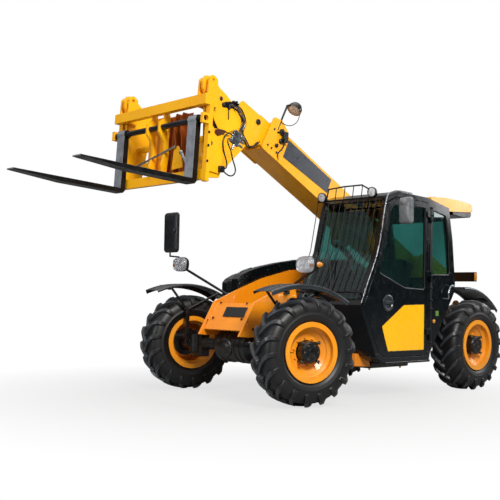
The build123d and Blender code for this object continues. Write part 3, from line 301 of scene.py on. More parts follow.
def steel_fork():
    """Fork steel: black on the sides, grey on forward-facing faces (bare load faces with a painted sheen), scraped
    in patches.
    """
    n = Nodes("fork_steel")
    normal = n.new("TexCoord").outputs["Normal"]
    split = n.new("SeparateXYZ")
    n.link(normal, split.inputs[0])
    # forward-facing faces turn grey: bare load faces, partly a painted sheen where the light falls
    bare_face_and_sheen = n.spread(split.outputs["X"], 0.4, 0.8)
    scrape = n.spread(n.noise(18.0, 6.0, 0.7), 0.45, 0.7)
    black = n.mix(scrape, linear((7, 8, 9)), linear((15, 17, 19)))
    grey = n.mix(scrape, linear((150, 153, 160)), linear((118, 122, 130)))
    base = n.mix(bare_face_and_sheen, black, grey)
    worn = n.math("MULTIPLY", n.edge(0.006), n.spread(n.noise(30.0, 5.0), 0.4, 0.55))
    base = n.mix(n.math("MULTIPLY", worn, 0.6), base, linear((150, 150, 152)))
    rough = n.spread(n.noise(12.0, 4.0), 0.3, 0.7, 0.3, 0.5)
    n.set(
        Base_Color=base, Roughness=rough, Metallic=0.55,
        Normal=n.bump(n.noise(120.0), 0.1, 0.001, n.rounded(0.004)),
    )
    return n.material


MAT = {
    "yellow": paint("boom_yellow", (246, 180, 12), (236, 162, 8), (176, 108, 34), 0.3, 0.25, 0.005, 0.3, 0.2),
    "orange": paint(
        "chassis_orange", (240, 146, 14), (228, 128, 10), (130, 74, 26), 0.3, 0.25, 0.005, 0.4, 0.3,
    ),
    # painted shade: a darker copy of the carriage orange, for the back sheet and ribs in the side plate's shadow
    "shade": paint("backing_painted_shade", (160, 78, 16), (132, 62, 12), (96, 50, 20), 0.42, 0.1, 0.004, 0.3, 0.2),
    # dark brown for the cheek bolts, and a painted shadow on the lock bar under the round plate
    "bronze": paint("bolt_brown_and_painted_shadow", (74, 36, 12), (54, 26, 10), (96, 52, 24), 0.36, 0.2, 0.003, 0.3, 0.2),
    "panel": paint("panel_yellow", (252, 190, 0), (248, 182, 0), (205, 150, 20), 0.26, 0.4, 0.003, 0.2, 0.1),
    "wheel": paint("rim_orange", (244, 160, 20), (232, 142, 14), (110, 66, 34), 0.34, 0.25, 0.003, 0.5, 0.35),
    "black": paint("frame_black", (4, 6, 8), (8, 10, 12), (40, 42, 44), 0.26, 0.15, 0.003, 0.1, 0.08, 0.3),
    "cab": paint("cab_black", (4, 9, 13), (7, 13, 18), (16, 22, 27), 0.2, 0.3, 0.006, 0.0, 0.04, 0.3),
    "casting": paint("casting_black", (4, 5, 7), (9, 10, 12), (46, 46, 44), 0.3, 0.2, 0.006, 0.2, 0.14, 0.4),
    "guard": moulded("guard_plastic", (20, 25, 30), (38, 44, 50), 0.3, 300.0, 0.0, 0.003, 0.7),
    "rod": moulded("guard_rod", (3, 5, 6), (6, 9, 11), 0.45, 300.0, 0.03, 0.001, 0.25),
    "trim": moulded("cab_trim", (5, 7, 9), (10, 12, 14), 0.42, 380.0, 0.15, 0.004, 0.35),
    "bonnet": moulded("bonnet_black", (5, 7, 9), (9, 12, 14), 0.25, 260.0, 0.05, 0.006, 0.45),
    "mirror_back": moulded("mirror_back", (10, 12, 15), (18, 21, 25), 0.42, 120.0, 0.0, 0.0006, 0.5),
    # painted sheen: a pale grey copy of the mirror back, for the near mirror's glossy shell
    "mirror_painted_sheen": moulded("mirror_back_painted_sheen", (84, 88, 92), (116, 120, 124), 0.3, 120.0, 0.0, 0.0006, 0.6),
    "rubber": moulded("seal_rubber", (5, 5, 6), (10, 10, 11), 0.5, 500.0, 0.2, 0.002),
    "tyre": tyre_material(),
    "hose": moulded("hose_rubber", (5, 6, 7), (11, 12, 13), 0.34, 700.0, 0.3, 0.001, 0.45),
    "steel": plain_metal("dark_steel", (70, 73, 78), (36, 38, 42), 0.32),
    "bolt": plain_metal("plated_bolt", (118, 114, 104), (78, 74, 66), 0.36),
    # silver: plated bars and pipes, and also the painted highlights along the A-pillar and bonnet edges
    "silver": plain_metal("silver_and_painted_highlight", (170, 175, 180), (120, 126, 132), 0.25),
    "reflector": plain_metal("lamp_reflector", (252, 252, 254), (226, 229, 234), 0.35),
    "chrome": plain_metal("chrome", (228, 230, 233), (200, 203, 208), 0.08, (1, 1, 1), 0.001),
    "glass": glass("tinted_glass", (120, 186, 180)),
    "amber": lens("amber_lens", (255, 160, 24)),
    "red": lens("red_lens", (190, 16, 12)),
    "white": lens("white_lens", (240, 243, 248)),
    "fluted": lens("fluted_glass", (250, 251, 254), 0.86),
    "mirror_glass": plain_metal("mirror_silver", (226, 232, 236), (214, 220, 226), 0.06),
    "decal": moulded("boom_panel_grey", (44, 48, 56), (56, 60, 70), 0.32, 120.0, 0.05),
    "cloth": cloth_material("seat_cloth", (14, 15, 18), (36, 39, 44)),
    "fork": steel_fork(),
    "green": moulded("blank_green", (96, 140, 50), (80, 120, 42), 0.45, 200.0, 0.05),
}


NODE_MATERIAL = {
    "orange": "chassis_plates chassis_cross_members",
    "yellow": "outer_boom inner_boom hitch_carriage hitch_side_plates fork_frame roof_cowl",
    "panel": "door_panel",
    "wheel": " ".join(f"{c}_rim" for c in CORNERS),
    "casting": " ".join(f"{c}_hub {c}_knuckle" for c in CORNERS) + " front_axle rear_axle transmission",
    "guard": " ".join(f"{c}_mudguard" for c in CORNERS),
    "mirror_back": "mirrors",
    "cab": "cab_frame cab_door cab_floor cab_roof cab_right_wall",
    "rod": "screen_guard rear_lamp_bars",
    "black": "fuel_tank lamp_arms lift_cylinder tilt_cylinder engine_block seat_base",
    "trim": "dashboard steering_wheel",
    "bonnet": "engine_bonnet engine_bay",
    "fork": "left_fork right_fork",
    "steel": "fork_shaft chassis_pins",
    "chrome": "lift_rod tilt_rod headlamps",
    "glass": "cab_windows door_glass",
    "cloth": "seat_cushions",
    "tyre": " ".join(f"{c}_tyre" for c in CORNERS),
}
for key, names in NODE_MATERIAL.items():
    for name in names.split():
        if name in frame["nodes"]:
            mesh = frame["nodes"][name].data
            mesh.materials.clear()
            mesh.materials.append(MAT[key])


# ------------------------------------------------------------------ mesh building
def square_frame(direction):
    """Two unit vectors across a direction."""
    direction = Vector(direction).normalized()
    side = Vector((0, 0, 1)) if abs(direction.z) < 0.9 else Vector((1, 0, 0))
    first = direction.cross(side).normalized()
    return first, direction.cross(first).normalized()


class Shape:
    """Collects solids into one mesh."""

    def __init__(self):
        self.mesh = bmesh.new()

    def add(self, points, faces):
        made = [self.mesh.verts.new(point) for point in points]
        for face in faces:
            self.mesh.faces.new([made[index] for index in face])

    def grid(self, rows, closed=False, caps=True):
        """Skins rings of equal length; rings are closed loops."""
        size = len(rows[0])
        points = [point for row in rows for point in row]
        faces = []
        count = len(rows)
        for r in range(count if closed else count - 1):
            low, high = r * size, (r + 1) % count * size
            for c in range(size):
                d = (c + 1) % size
                faces.append((low + c, low + d, high + d, high + c))
        if caps and not closed:
            faces.append(tuple(range(size - 1, -1, -1)))
            faces.append(tuple((count - 1) * size + c for c in range(size)))
        self.add(points, faces)

    def tube(self, points, radius, sides=12, bend=0):
        """A round bar along a path; bend smooths its corners."""
        points = [Vector(point) for point in points]
        if bend:
            points = smooth_path(points, bend)
        rows = []
        first = None
        for index, point in enumerate(points):
            ahead = points[min(index + 1, len(points) - 1)] - points[max(index - 1, 0)]
            if first is None:
                first, second = square_frame(ahead)
            else:
                ahead.normalize()
                first = (first - ahead * first.dot(ahead)).normalized()
                second = ahead.cross(first)
            reach = radius[index] if isinstance(radius, (list, tuple)) else radius
            rows.append(circle(point, first, second, reach, sides))
        self.grid(rows)

    def lathe(self, profile, origin, axis, sides=32, closed=False):
        """Turns (distance, radius) pairs about an axis."""
        first, second = square_frame(axis)
        axis = Vector(axis).normalized()
        origin = Vector(origin)
        rows = [
            circle(origin + axis * along, first, second, max(radius, 1e-4), sides)
            for along, radius in profile
        ]
        self.grid(rows, closed)

    def slab(self, outline, thickness):
        """Extrudes a closed outline of points by a vector."""
        thickness = Vector(thickness)
        size = len(outline)
        points = [Vector(p) for p in outline] + [Vector(p) + thickness for p in outline]
        faces = [tuple(range(size - 1, -1, -1)), tuple(range(size, 2 * size))]
        faces += [(k, (k + 1) % size, size + (k + 1) % size, size + k) for k in range(size)]
        self.add(points, faces)

    def box(self, low, high):
        low, high = Vector(low), Vector(high)
        corners = ((low.x, low.y), (high.x, low.y), (high.x, high.y), (low.x, high.y))
        self.slab([(x, y, low.z) for x, y in corners], (0, 0, high.z - low.z))

    def bolt(self, place, axis, radius=0.011, height=0.009):
        """A washer and a hexagon head."""
        self.lathe(((0, radius * 1.45), (0.002, radius * 1.45), (0.0022, radius)), place, axis, 16)
        place = Vector(place) + Vector(axis).normalized() * 0.0015
        self.lathe(((0, radius), (height * 0.8, radius), (height, radius * 0.86)), place, axis, 6)

    def finish(self, name, material, body, bevel=0.0, sharp=35, levels=2):
        """Makes the named piece: bevel in metres, sharp in degrees, levels in bevel segments."""
        bmesh.ops.recalc_face_normals(self.mesh, faces=self.mesh.faces)
        mesh = bpy.data.meshes.new(name)
        self.mesh.to_mesh(mesh)
        self.mesh.free()
        mesh.materials.append(MAT[material])
        mesh.shade_smooth()
        mesh.set_sharp_from_angle(angle=math.radians(sharp))
        thing = link_object(name, mesh)
        if bevel:
            modifier = thing.modifiers.new("edges", "BEVEL")
            modifier.width = bevel
            modifier.segments = levels
            modifier.limit_method = "ANGLE"
            modifier.angle_limit = math.radians(40)
        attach(thing, body)
        return thing


def slab_piece(name, outline, thickness, material, body, bevel=0.0, sharp=35, levels=2):
    """A piece that is one extruded outline."""
    plate = Shape()
    plate.slab(outline, thickness)
    return plate.finish(name, material, body, bevel, sharp, levels)


def smooth_path(points, steps):
    """A Catmull-Rom curve through the points."""
    out = []
    padded = [points[0] * 2 - points[1], *points, points[-1] * 2 - points[-2]]
    for index in range(1, len(padded) - 2):
        a, b, c, d = padded[index - 1 : index + 3]
        for step in range(steps):
            t = step / steps
            line = 2 * b + (c - a) * t
            bend = (2 * a - 5 * b + 4 * c - d) * t * t
            out.append(0.5 * (line + bend + (3 * b - a - 3 * c + d) * t**3))
    return out + [points[-1]]


# ------------------------------------------------------------------ wheels
def wheel_frame(corner):
    """Hub centre, forward, outboard and up, at the wheel's resting steer."""
    joint = JOINTS[f"{corner}_spin"]
    side = 1 if corner.endswith("left") else -1
    outboard = Vector(joint["axis"]) * side
    return Vector(joint["pos_m"]), outboard.cross(Vector((0, 0, 1))) * side, outboard, Vector((0, 0, 1))


LUGS = 18
LUG_ROOT_DEPTH = 0.006
# across the tread: a lug's foot and crest (outboard, radius), turn behind its root, widths at foot and crest
LUG_LINE = (
    (-0.012, 0.482, -0.006, 0.512, -0.01, 0.046, 0.031),
    (0.025, 0.482, 0.03, 0.5145, 0.06, 0.046, 0.033),
    (0.07, 0.481, 0.075, 0.514, 0.16, 0.047, 0.035),
    (0.11, 0.476, 0.118, 0.51, 0.235, 0.05, 0.038),
    (0.138, 0.463, 0.15, 0.496, 0.285, 0.052, 0.041),
    (0.155, 0.44, 0.173, 0.468, 0.31, 0.052, 0.042),
    (0.163, 0.412, 0.1835, 0.43, 0.322, 0.05, 0.04),
    (0.166, 0.385, 0.179, 0.392, 0.328, 0.046, 0.036),
)
LUG_RADIUS = 0.5
CROWN_RADIUS = 0.4845
# half of the casing's outside, from bead to crown, and its whole inside: (outboard, radius)
CASING = (
    (0.1405, 0.2495), (0.1405, 0.292), (0.15, 0.3), (0.16, 0.318),
    (0.1625, 0.322), (0.164, 0.33), (0.1725, 0.352), (0.1735, 0.356),
    (0.1715, 0.359), (0.1725, 0.385), (0.169, 0.415), (0.16, 0.443),
    (0.142, 0.466), (0.11, 0.479), (0.06, 0.4835), (0.0, CROWN_RADIUS),
)
LINER = (
    (-0.115, 0.2495), (-0.118, 0.33), (-0.14, 0.4), (-0.1, 0.455),
    (0.1, 0.455), (0.14, 0.4), (0.118, 0.33), (0.115, 0.2495),
)


def tyre(corner):
    """A lugged tyre; its crest attribute runs from 0 in the gaps to 1 on the lugs."""
    centre, ahead, outboard, up = wheel_frame(corner)
    shape = Shape()
    outside = CASING + tuple((-along, radius) for along, radius in reversed(CASING[:-1]))
    shape.lathe(outside + LINER, centre, outboard, 96, True)

    def spot(across, radius, turn):
        return centre + outboard * across + (ahead * math.cos(turn) + up * math.sin(turn)) * radius

    for flank in (1, -1):
        for index in range(LUGS):
            root = math.tau * (index + (0.5 if flank < 0 else 0)) / LUGS
            rows = []
            for foot_y, foot_r, crest_y, crest_r, lag, foot_width, crest_width in LUG_LINE:
                foot = (flank * foot_y * 0.985, foot_r - LUG_ROOT_DEPTH)
                crest = (flank * crest_y, crest_r)
                wide = foot_width / LUG_RADIUS * 0.62
                narrow = crest_width / LUG_RADIUS * 0.55
                turn = root + lag
                rows.append(
                    [
                        spot(*foot, turn - wide),
                        spot(*crest, turn - narrow),
                        spot(*crest, turn + narrow),
                        spot(*foot, turn + wide),
                    ]
                )
            shape.grid(rows)
    piece = shape.finish(f"{corner}_tyre_tread", "tyre", f"{corner}_wheel", 0.0035, 38)
    # crest marks the lugs for the tyre material's painted highlight
    crest = piece.data.attributes.new("crest", "FLOAT", "POINT")
    for vertex, value in zip(piece.data.vertices, crest.data):
        arm = vertex.co - centre
        across = abs(arm.dot(outboard))
        radius = (arm - outboard * arm.dot(outboard)).length
        casing = CROWN_RADIUS - max(0.0, across - 0.06) ** 2 * 1.6
        value.value = min(1.0, max(0.0, (radius - casing - 0.004) / 0.018))
    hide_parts(f"{corner}_tyre")


def wheel_trim(corner):
    """Wheel nuts, lug studs, hub face bolts and a valve."""
    centre, ahead, outboard, up = wheel_frame(corner)
    body = f"{corner}_wheel"

    def rays(count, phase):
        """Unit vectors round the hub; phase is in steps plus a fixed angle."""
        steps, angle = phase
        turns = [math.tau * (index + steps) / count + angle for index in range(count)]
        return [ahead * math.cos(turn) + up * math.sin(turn) for turn in turns]

    ring = Shape()
    for ray in rays(10, (0, 0.2)):
        ring.bolt(centre + ray * 0.135 + outboard * 0.047, outboard, 0.012, 0.014)
    ring.finish(f"{corner}_rim_nuts", "wheel", body)
    nuts = Shape()
    studs = Shape()
    for ray in rays(4, (0.5, 0.02)):
        studs.tube((centre + ray * 0.122 + outboard * 0.05, centre + ray * 0.126 + outboard * 0.135), 0.011, 12)
        nuts.bolt(centre + ray * 0.126 + outboard * 0.132, outboard, 0.012, 0.012)
    for ray in rays(6, (0, 0)):
        nuts.bolt(centre + ray * 0.071 + outboard * 0.149, outboard, 0.007, 0.005)
        face = centre + outboard * 0.15
        across = ray.cross(outboard) * 0.007
        rib = [
            face + ray * reach + across * way
            for reach, way in ((0.045, 1), (0.062, 1), (0.062, -1), (0.045, -1))
        ]
        studs.slab(rib, outboard * 0.006)
    studs.lathe(((0.142, 0.0385), (0.151, 0.036), (0.153, 0.03), (0.1535, 0.0)), centre, outboard, 32)
    valve = Shape()
    foot = centre + ahead * 0.2 + outboard * 0.09
    valve.tube(
        (foot, foot + outboard * 0.02 - ahead * 0.005, foot + outboard * 0.045 - ahead * 0.012), 0.0045, 10,
    )
    nuts.finish(f"{corner}_wheel_nuts", "bolt", body, 0.0008)
    studs.finish(f"{corner}_hub_studs", "casting", body, 0.001)
    valve.finish(f"{corner}_valve", "rubber", body)


# a mudguard's rolled section: (outboard of the kingpin, height over the arch)
GUARD_SECTION = (
    (0.0555, -0.0285), (0.0555, -0.02), (0.057, -0.01), (0.064, -0.0035), (0.076, -0.001),
    (0.09, -0.0006), (0.094, -0.004), (0.1, -0.0045), (0.104, -0.0008),
    (0.34, -0.0006), (0.346, -0.0045), (0.352, -0.0045), (0.358, -0.001),
    (0.378, -0.001), (0.39, -0.0035), (0.3975, -0.01), (0.3998, -0.02), (0.4005, -0.046),
)
GUARD_ARCH = 0.9
GUARD_SKIN = 0.0045
GUARD_STEPS = 40


def mudguard(corner):
    """A mudguard's arched skin with rolled edges, and its bolts."""
    centre, ahead, outboard, up = wheel_frame(corner)
    front = corner.startswith("front")
    top, mid, rear, nose = (0.639, 0.09, -0.42, 0.45) if front else (0.66, 0.2, -0.43, 0.26)
    hub = centre - outboard * 0.25 + ahead * mid + up * (top - GUARD_ARCH)
    start, stop = (math.asin((end - mid) / GUARD_ARCH) for end in (rear, nose))

    def radial(turn):
        return ahead * math.sin(turn) + up * math.cos(turn)

    rows = []
    for step in range(GUARD_STEPS + 1):
        turn = start + (stop - start) * step / GUARD_STEPS
        if step in (0, GUARD_STEPS):
            turn += 0.0015 if step == 0 else -0.0015
        ray = radial(turn)
        outer = [hub + ray * (GUARD_ARCH + rise) + outboard * across for across, rise in GUARD_SECTION]
        inner = []
        for across, rise in GUARD_SECTION:
            inward = GUARD_SKIN if across < 0.07 else -GUARD_SKIN if across > 0.385 else 0
            inner.append(hub + ray * (GUARD_ARCH + rise - GUARD_SKIN) + outboard * (across + inward))
        rows.append(outer + inner[::-1])
    shape = Shape()
    shape.grid(rows)
    piece = shape.finish(f"{corner}_mudguard_skin", "guard", f"{corner}_swivel", 0.0, 50)
    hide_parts(f"{corner}_mudguard")
    heads = Shape()
    for along in (rear + 0.15, nose - 0.15):
        ray = radial(math.asin((along - mid) / GUARD_ARCH))
        for across in (0.12, 0.22, 0.32):
            heads.bolt(hub + ray * (GUARD_ARCH - 0.001) + outboard * across, ray, 0.008, 0.006)
    heads.finish(f"{corner}_guard_bolts", "bolt", f"{corner}_swivel")


for corner in CORNERS:
    tyre(corner)
    wheel_trim(corner)
    mudguard(corner)


# ------------------------------------------------------------------ cab
CAB_Y = 1.09
WINDOWS = {
    "door": (
        (-1.765, 1.13), (-1.42, 1.14), (-0.985, 1.29), (-1.08, 1.56), (-1.17, 1.95), (-1.23, 2.0),
        (-1.765, 2.012),
    ),
    "quarter": ((-1.885, 2.0), (-2.14, 1.95), (-2.2, 1.69), (-2.228, 1.3), (-1.885, 1.29)),
}


def ring_path(outline, y, corner, steps=5):
    """A closed path round an outline of (x, z) with rounded corners."""
    points = []
    count = len(outline)
    for index in range(count):
        before, here, after = (Vector(outline[(index + k) % count]) for k in (-1, 0, 1))
        first = here + (before - here).normalized() * corner
        last = here + (after - here).normalized() * corner
        for step in range(steps + 1):
            t = step / steps
            point = first * (1 - t) ** 2 + here * 2 * t * (1 - t) + last * t * t
            points.append(at(point.x, y, point.y))
    return points


def closed_tube(shape, path, radius, sides=8):
    """A tube whose end meets its start."""
    rows = []
    count = len(path)
    for index, point in enumerate(path):
        ahead = (path[(index + 1) % count] - path[index - 1]).normalized()
        first = Vector((0, 1, 0))
        second = ahead.cross(first).normalized()
        rows.append(circle(point, first, second, radius, sides))
    shape.grid(rows, True)


seals = Shape()
closed_tube(seals, ring_path(WINDOWS["door"], CAB_Y - 0.012, 0.035), 0.009)
PANEL_GROOVE = ((-1.04, 0.746), (-1.14, 0.49), (-1.75, 0.49), (-1.75, 0.973), (-1.398, 0.964))
closed_tube(seals, ring_path(PANEL_GROOVE, CAB_Y - 0.002, 0.02), 0.0022)
seals.finish("door_seals", "rubber", "door")
seals = Shape()
closed_tube(seals, ring_path(WINDOWS["quarter"], CAB_Y - 0.012, 0.035), 0.009)
seals.finish("quarter_seal", "rubber", "chassis")

# painted highlight: a silver rail for the bright line the light leaves along the A-pillar edge
rail = Shape()
edge = [
    (-0.715, 0.975), (-0.79, 1.14), (-0.965, 1.51), (-1.068, 1.945), (-1.118, 2.088), (-1.2, 2.125),
    (-1.29, 2.143), (-1.52, 2.138),
]
rail.tube([at(x, CAB_Y - 0.004, z + 0.004) for x, z in edge], 0.0075, 10, 6)
rail.finish("pillar_rail_painted_highlight", "silver", "chassis")

trim = Shape()
for z in (2.014, 1.938, 1.884, 1.28, 1.15, 1.021, 0.924, 0.56):
    trim.lathe(
        ((-0.012, 0.014), (0.01, 0.014), (0.016, 0.01), (0.018, 0.0)), at(-1.868, CAB_Y, z), (0, 1, 0), 20,
    )
trim.slab(side_on(CAB_Y, ((-1.846, 0.49), (-1.884, 0.49), (-1.884, 2.02), (-1.846, 2.02))), (0, 0.004, 0))
trim.finish("pillar_cover_strip", "trim", "chassis", 0.0015)

handle = Shape()
place = at(-1.133, CAB_Y, 0.983)
handle.lathe(
    ((-0.002, 0.086), (0.008, 0.085), (0.012, 0.078), (0.012, 0.066), (0.002, 0.056), (-0.001, 0.0)), place,
    (0, 1, 0), 40,
)
handle.finish("door_handle_cup", "guard", "door", 0.001)
lever = ((-0.052, -0.012), (0.052, -0.012), (0.05, 0.012), (0.036, 0.02), (-0.036, 0.02), (-0.05, 0.012))
outline = [place + Vector((x, 0.001, z)) for x, z in lever]
slab_piece("door_handle_lever", outline, (0, 0.011, 0), "guard", "door", 0.004)

grab = Shape()
path = [
    at(x, CAB_Y + out, z)
    for x, out, z in (
        (-2.14, -0.01, 1.035), (-2.14, 0.035, 1.045), (-2.142, 0.04, 1.11),
        (-2.19, 0.04, 1.18), (-2.235, 0.035, 1.175), (-2.24, -0.02, 1.165),
    )
]
grab.tube(path, 0.011, 12, 6)
grab.finish("rear_grab_handle", "silver", "chassis")

centre = at(-1.984, CAB_Y, 0.876)
outline = [centre + Vector((x, 0, z)) * 0.0275 for x, z in ((-1, -1), (1, -1), (1, 1), (-1, 1))]
slab_piece("blank_notice", outline, (0, 0.0012, 0), "green", "chassis")
mark = Shape()
mark.lathe(((0, 0.022), (0.008, 0.021), (0.013, 0.014), (0.0145, 0.0)), at(-1.925, CAB_Y, 0.79), (0, 1, 0), 24)
mark.finish("side_marker", "amber", "chassis")

PANEL = ((-1.045, 0.748), (-1.142, 0.494), (-1.746, 0.494), (-1.746, 0.969), (-1.398, 0.96))
slab_piece("door_yellow_panel", side_on(CAB_Y - 0.001, PANEL), (0, 0.0015, 0), "panel", "door")

wiper = Shape()
wiper.tube([at(-0.745, 0.64, 1.03), at(-0.8, 0.6, 1.22), at(-0.9, 0.48, 1.5)], 0.006, 8, 4)
wiper.tube([at(-0.8, 0.5, 1.21), at(-0.95, 0.44, 1.66)], 0.005, 8)
wiper.lathe(((-0.01, 0.02), (0.02, 0.018), (0.022, 0.0)), at(-0.745, 0.64, 1.03), (1, 0, 0.3), 20)
wiper.finish("screen_wiper", "rubber", "chassis")


SQUARENESS = 5
CHANNELS = 3


def padded_block(name, low, high, lean=0.0):
    """A crowned cushion with sewn channels; lean shears it backwards with height."""
    low, high = Vector(low), Vector(high)
    size = high - low
    mesh = bmesh.new()
    bmesh.ops.create_cube(mesh, size=1.0)
    bmesh.ops.subdivide_edges(mesh, edges=mesh.edges[:], cuts=15, use_grid_fill=True)
    thin = min(range(3), key=lambda axis: size[axis])
    wide = [axis for axis in range(3) if axis != thin]
    for vert in mesh.verts:
        point = vert.co * 2
        length = (abs(point[wide[0]]) ** SQUARENESS + abs(point[wide[1]]) ** SQUARENESS) ** (1 / SQUARENESS)
        reach = max(abs(point[wide[0]]), abs(point[wide[1]]), 1e-6)
        if length > 1e-6:
            scale = reach / length
            scale = 1 - (1 - scale) * reach
            point[wide[0]] *= scale
            point[wide[1]] *= scale
        rim = max(abs(point[wide[0]]), abs(point[wide[1]]))
        flat = 1 - max(0.0, (rim - 0.72) / 0.28) ** 2.2 * 0.42
        point[thin] *= flat
        if abs(point[thin]) > 0.4:
            groove = math.cos(point[1] * math.pi * CHANNELS / 1.3)
            point[thin] -= math.copysign(0.16 * groove**24 * (1 if rim < 0.8 else 0.2), point[thin])
            point[thin] += math.copysign(0.05 * noise.noise(point * 2.3), point[thin])
        vert.co = Vector((low[a] + size[a] * (point[a] * 0.5 * 0.985 + 0.5) for a in range(3)))
        vert.co.x += lean * (vert.co.z - low.z)
    shape = Shape()
    shape.mesh.free()
    shape.mesh = mesh
    piece = shape.finish(name, "cloth", "chassis", 0.0, 60)
    piece.modifiers.new("soft", "SUBSURF").levels = 1
    piece.modifiers["soft"].render_levels = 1
    return piece


base = padded_block("seat_cushion", at(-1.75, 0.41, 0.803), at(-1.29, 0.87, 0.895))
padded_block("seat_backrest", at(-1.755, 0.43, 0.905), at(-1.67, 0.85, 1.47), -0.2)
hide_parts("seat_cushions")
seat_extras = Shape()
for y in (0.42, 0.86):
    seat_extras.tube([at(-1.7, y, 0.8), at(-1.76, y, 0.86), at(-1.8, y, 1.0)], 0.012, 10, 4)
    seat_extras.box(at(-1.66, y - 0.03, 1.06), at(-1.4, y + 0.03, 1.1))
seat_extras.finish("seat_armrests", "trim", "chassis", 0.012, 50, 3)

controls = Shape()
controls.tube([at(-1.36, 0.33, 0.83), at(-1.38, 0.335, 0.93), at(-1.4, 0.34, 1.0)], 0.008, 10, 3)
controls.lathe(
    ((-0.05, 0.016), (-0.02, 0.022), (0.03, 0.026), (0.06, 0.02), (0.07, 0.0)), at(-1.4, 0.34, 1.03),
    (-0.15, 0, 1), 20,
)
for x, y in ((-1.02, 0.52), (-1.03, 0.74)):
    face = ((-0.02, -0.035, 0.5), (-0.02, 0.035, 0.5), (0.03, 0.035, 0.58), (0.03, -0.035, 0.58))
    controls.slab([at(x + ahead, y + across, z) for ahead, across, z in face], (-0.006, 0, 0.004))
controls.box(at(-1.115, 0.5, 1.0), at(-1.06, 0.6, 1.09))
controls.finish("cab_controls", "rubber", "chassis", 0.002)

# ------------------------------------------------------------------ lamps and mirrors
def round_lamp(name, centre, aim, radius, body):
    """A work lamp: shell, bright bowl and glass."""
    shell = Shape()
    profile = ((-0.9, 0.45), (-0.75, 0.7), (-0.3, 0.96), (0.0, 1.0), (0.22, 1.02), (0.24, 0.9), (0.0, 0.88))
    shell.lathe([(along * radius, reach * radius) for along, reach in profile], centre, aim, 40)
    shell.finish(f"{name}_shell", "black", body, 0.001)
    bowl = Shape()
    profile = [(-radius * 0.55 * (1 - t * t), radius * 0.86 * t) for t in (0.2, 0.4, 0.6, 0.8, 1.0)]
    bowl.lathe(profile, centre + Vector(aim).normalized() * radius * 0.16, aim, 32)
    bowl.finish(f"{name}_bowl", "reflector", body)
    cover = Shape()
    turns = (1.57, 1.2, 0.8, 0.4, 0.05)
    profile = [(radius * (0.16 + 0.14 * math.cos(turn)), radius * 0.87 * math.sin(turn)) for turn in turns]
    cover.lathe(profile, centre, aim, 32)
    cover.finish(f"{name}_glass", "white", body)


LAMP_HALF = (0.118, 0.08)


def rounded_cos(angle):
    """A cosine squared off towards a rounded rectangle."""
    value = math.cos(angle)
    return math.copysign(abs(value) ** 0.62, value)


def lamp_rows(centre, profile):
    """Rounded rectangles of a headlamp: (ahead, scale) pairs."""
    half_y, half_z = LAMP_HALF
    loop = [(rounded_cos(math.tau * k / 48), rounded_cos(math.tau * (k - 12) / 48)) for k in range(48)]
    return [
        [centre + Vector((along, half_y * scale * y, half_z * scale * z)) for y, z in loop]
        for along, scale in profile
    ]


def headlamp(side, x, z):
    """An oval headlamp: dark back, wrap-round fluted lens over two bowls, amber corner."""
    name = "left" if side > 0 else "right"
    centre = at(x, side * 0.97, z)
    shell = Shape()
    rim = (
        (-0.05, 0.5), (-0.044, 0.72), (-0.03, 0.88), (-0.014, 0.97), (-0.006, 1.0),
        (0.006, 1.0), (0.01, 0.985), (0.006, 0.955), (-0.008, 0.93),
    )
    shell.grid(lamp_rows(centre, rim))
    shell.finish(f"{name}_headlamp_shell", "trim", "chassis")
    tray = Shape()
    dish = ((0.012, 0.93), (0.004, 0.9), (-0.004, 0.82), (-0.01, 0.62), (-0.012, 0.3), (-0.0125, 0.02))
    tray.grid(lamp_rows(centre, dish))
    tray.finish(f"{name}_headlamp_tray", "reflector", "chassis")
    bowl = Shape()
    for y, radius in ((-0.048, 0.047), (0.046, 0.042)):
        profile = (
            (0.0, 0.006), (0.003, radius * 0.4), (0.01, radius * 0.75),
            (0.024, radius), (0.022, radius + 0.003), (-0.004, radius * 0.5),
        )
        bowl.lathe(profile, centre + Vector((-0.004, y, 0.004)), (1, 0, 0), 28)
        bowl.lathe(
            ((0.0, 0.008), (0.012, 0.01), (0.02, 0.008), (0.022, 0.0)), centre + Vector((-0.002, y, 0.004)),
            (1, 0, 0), 16,
        )
    bowl.finish(f"{name}_headlamp_bowls", "reflector", "chassis")
    blinker = Shape()
    blinker.lathe(
        ((0.0, 0.018), (0.014, 0.017), (0.018, 0.01), (0.0185, 0.0)),
        centre + Vector((0.01, 0.082 * side, -0.008)), (1, 0, 0), 20,
    )
    blinker.finish(f"{name}_headlamp_blinker", "amber", "chassis")
    cover = Shape()
    dome = (
        (-0.003, 0.95), (0.01, 0.96), (0.024, 0.94), (0.036, 0.87),
        (0.044, 0.72), (0.0485, 0.45), (0.05, 0.15), (0.05, 0.02),
    )
    cover.grid(lamp_rows(centre, dome))
    return cover.finish(f"{name}_headlamp_glass", "fluted", "chassis")


left_glass = headlamp(1, -0.045, 1.335)
headlamp(-1, -0.068, 1.368)
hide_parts("headlamps")


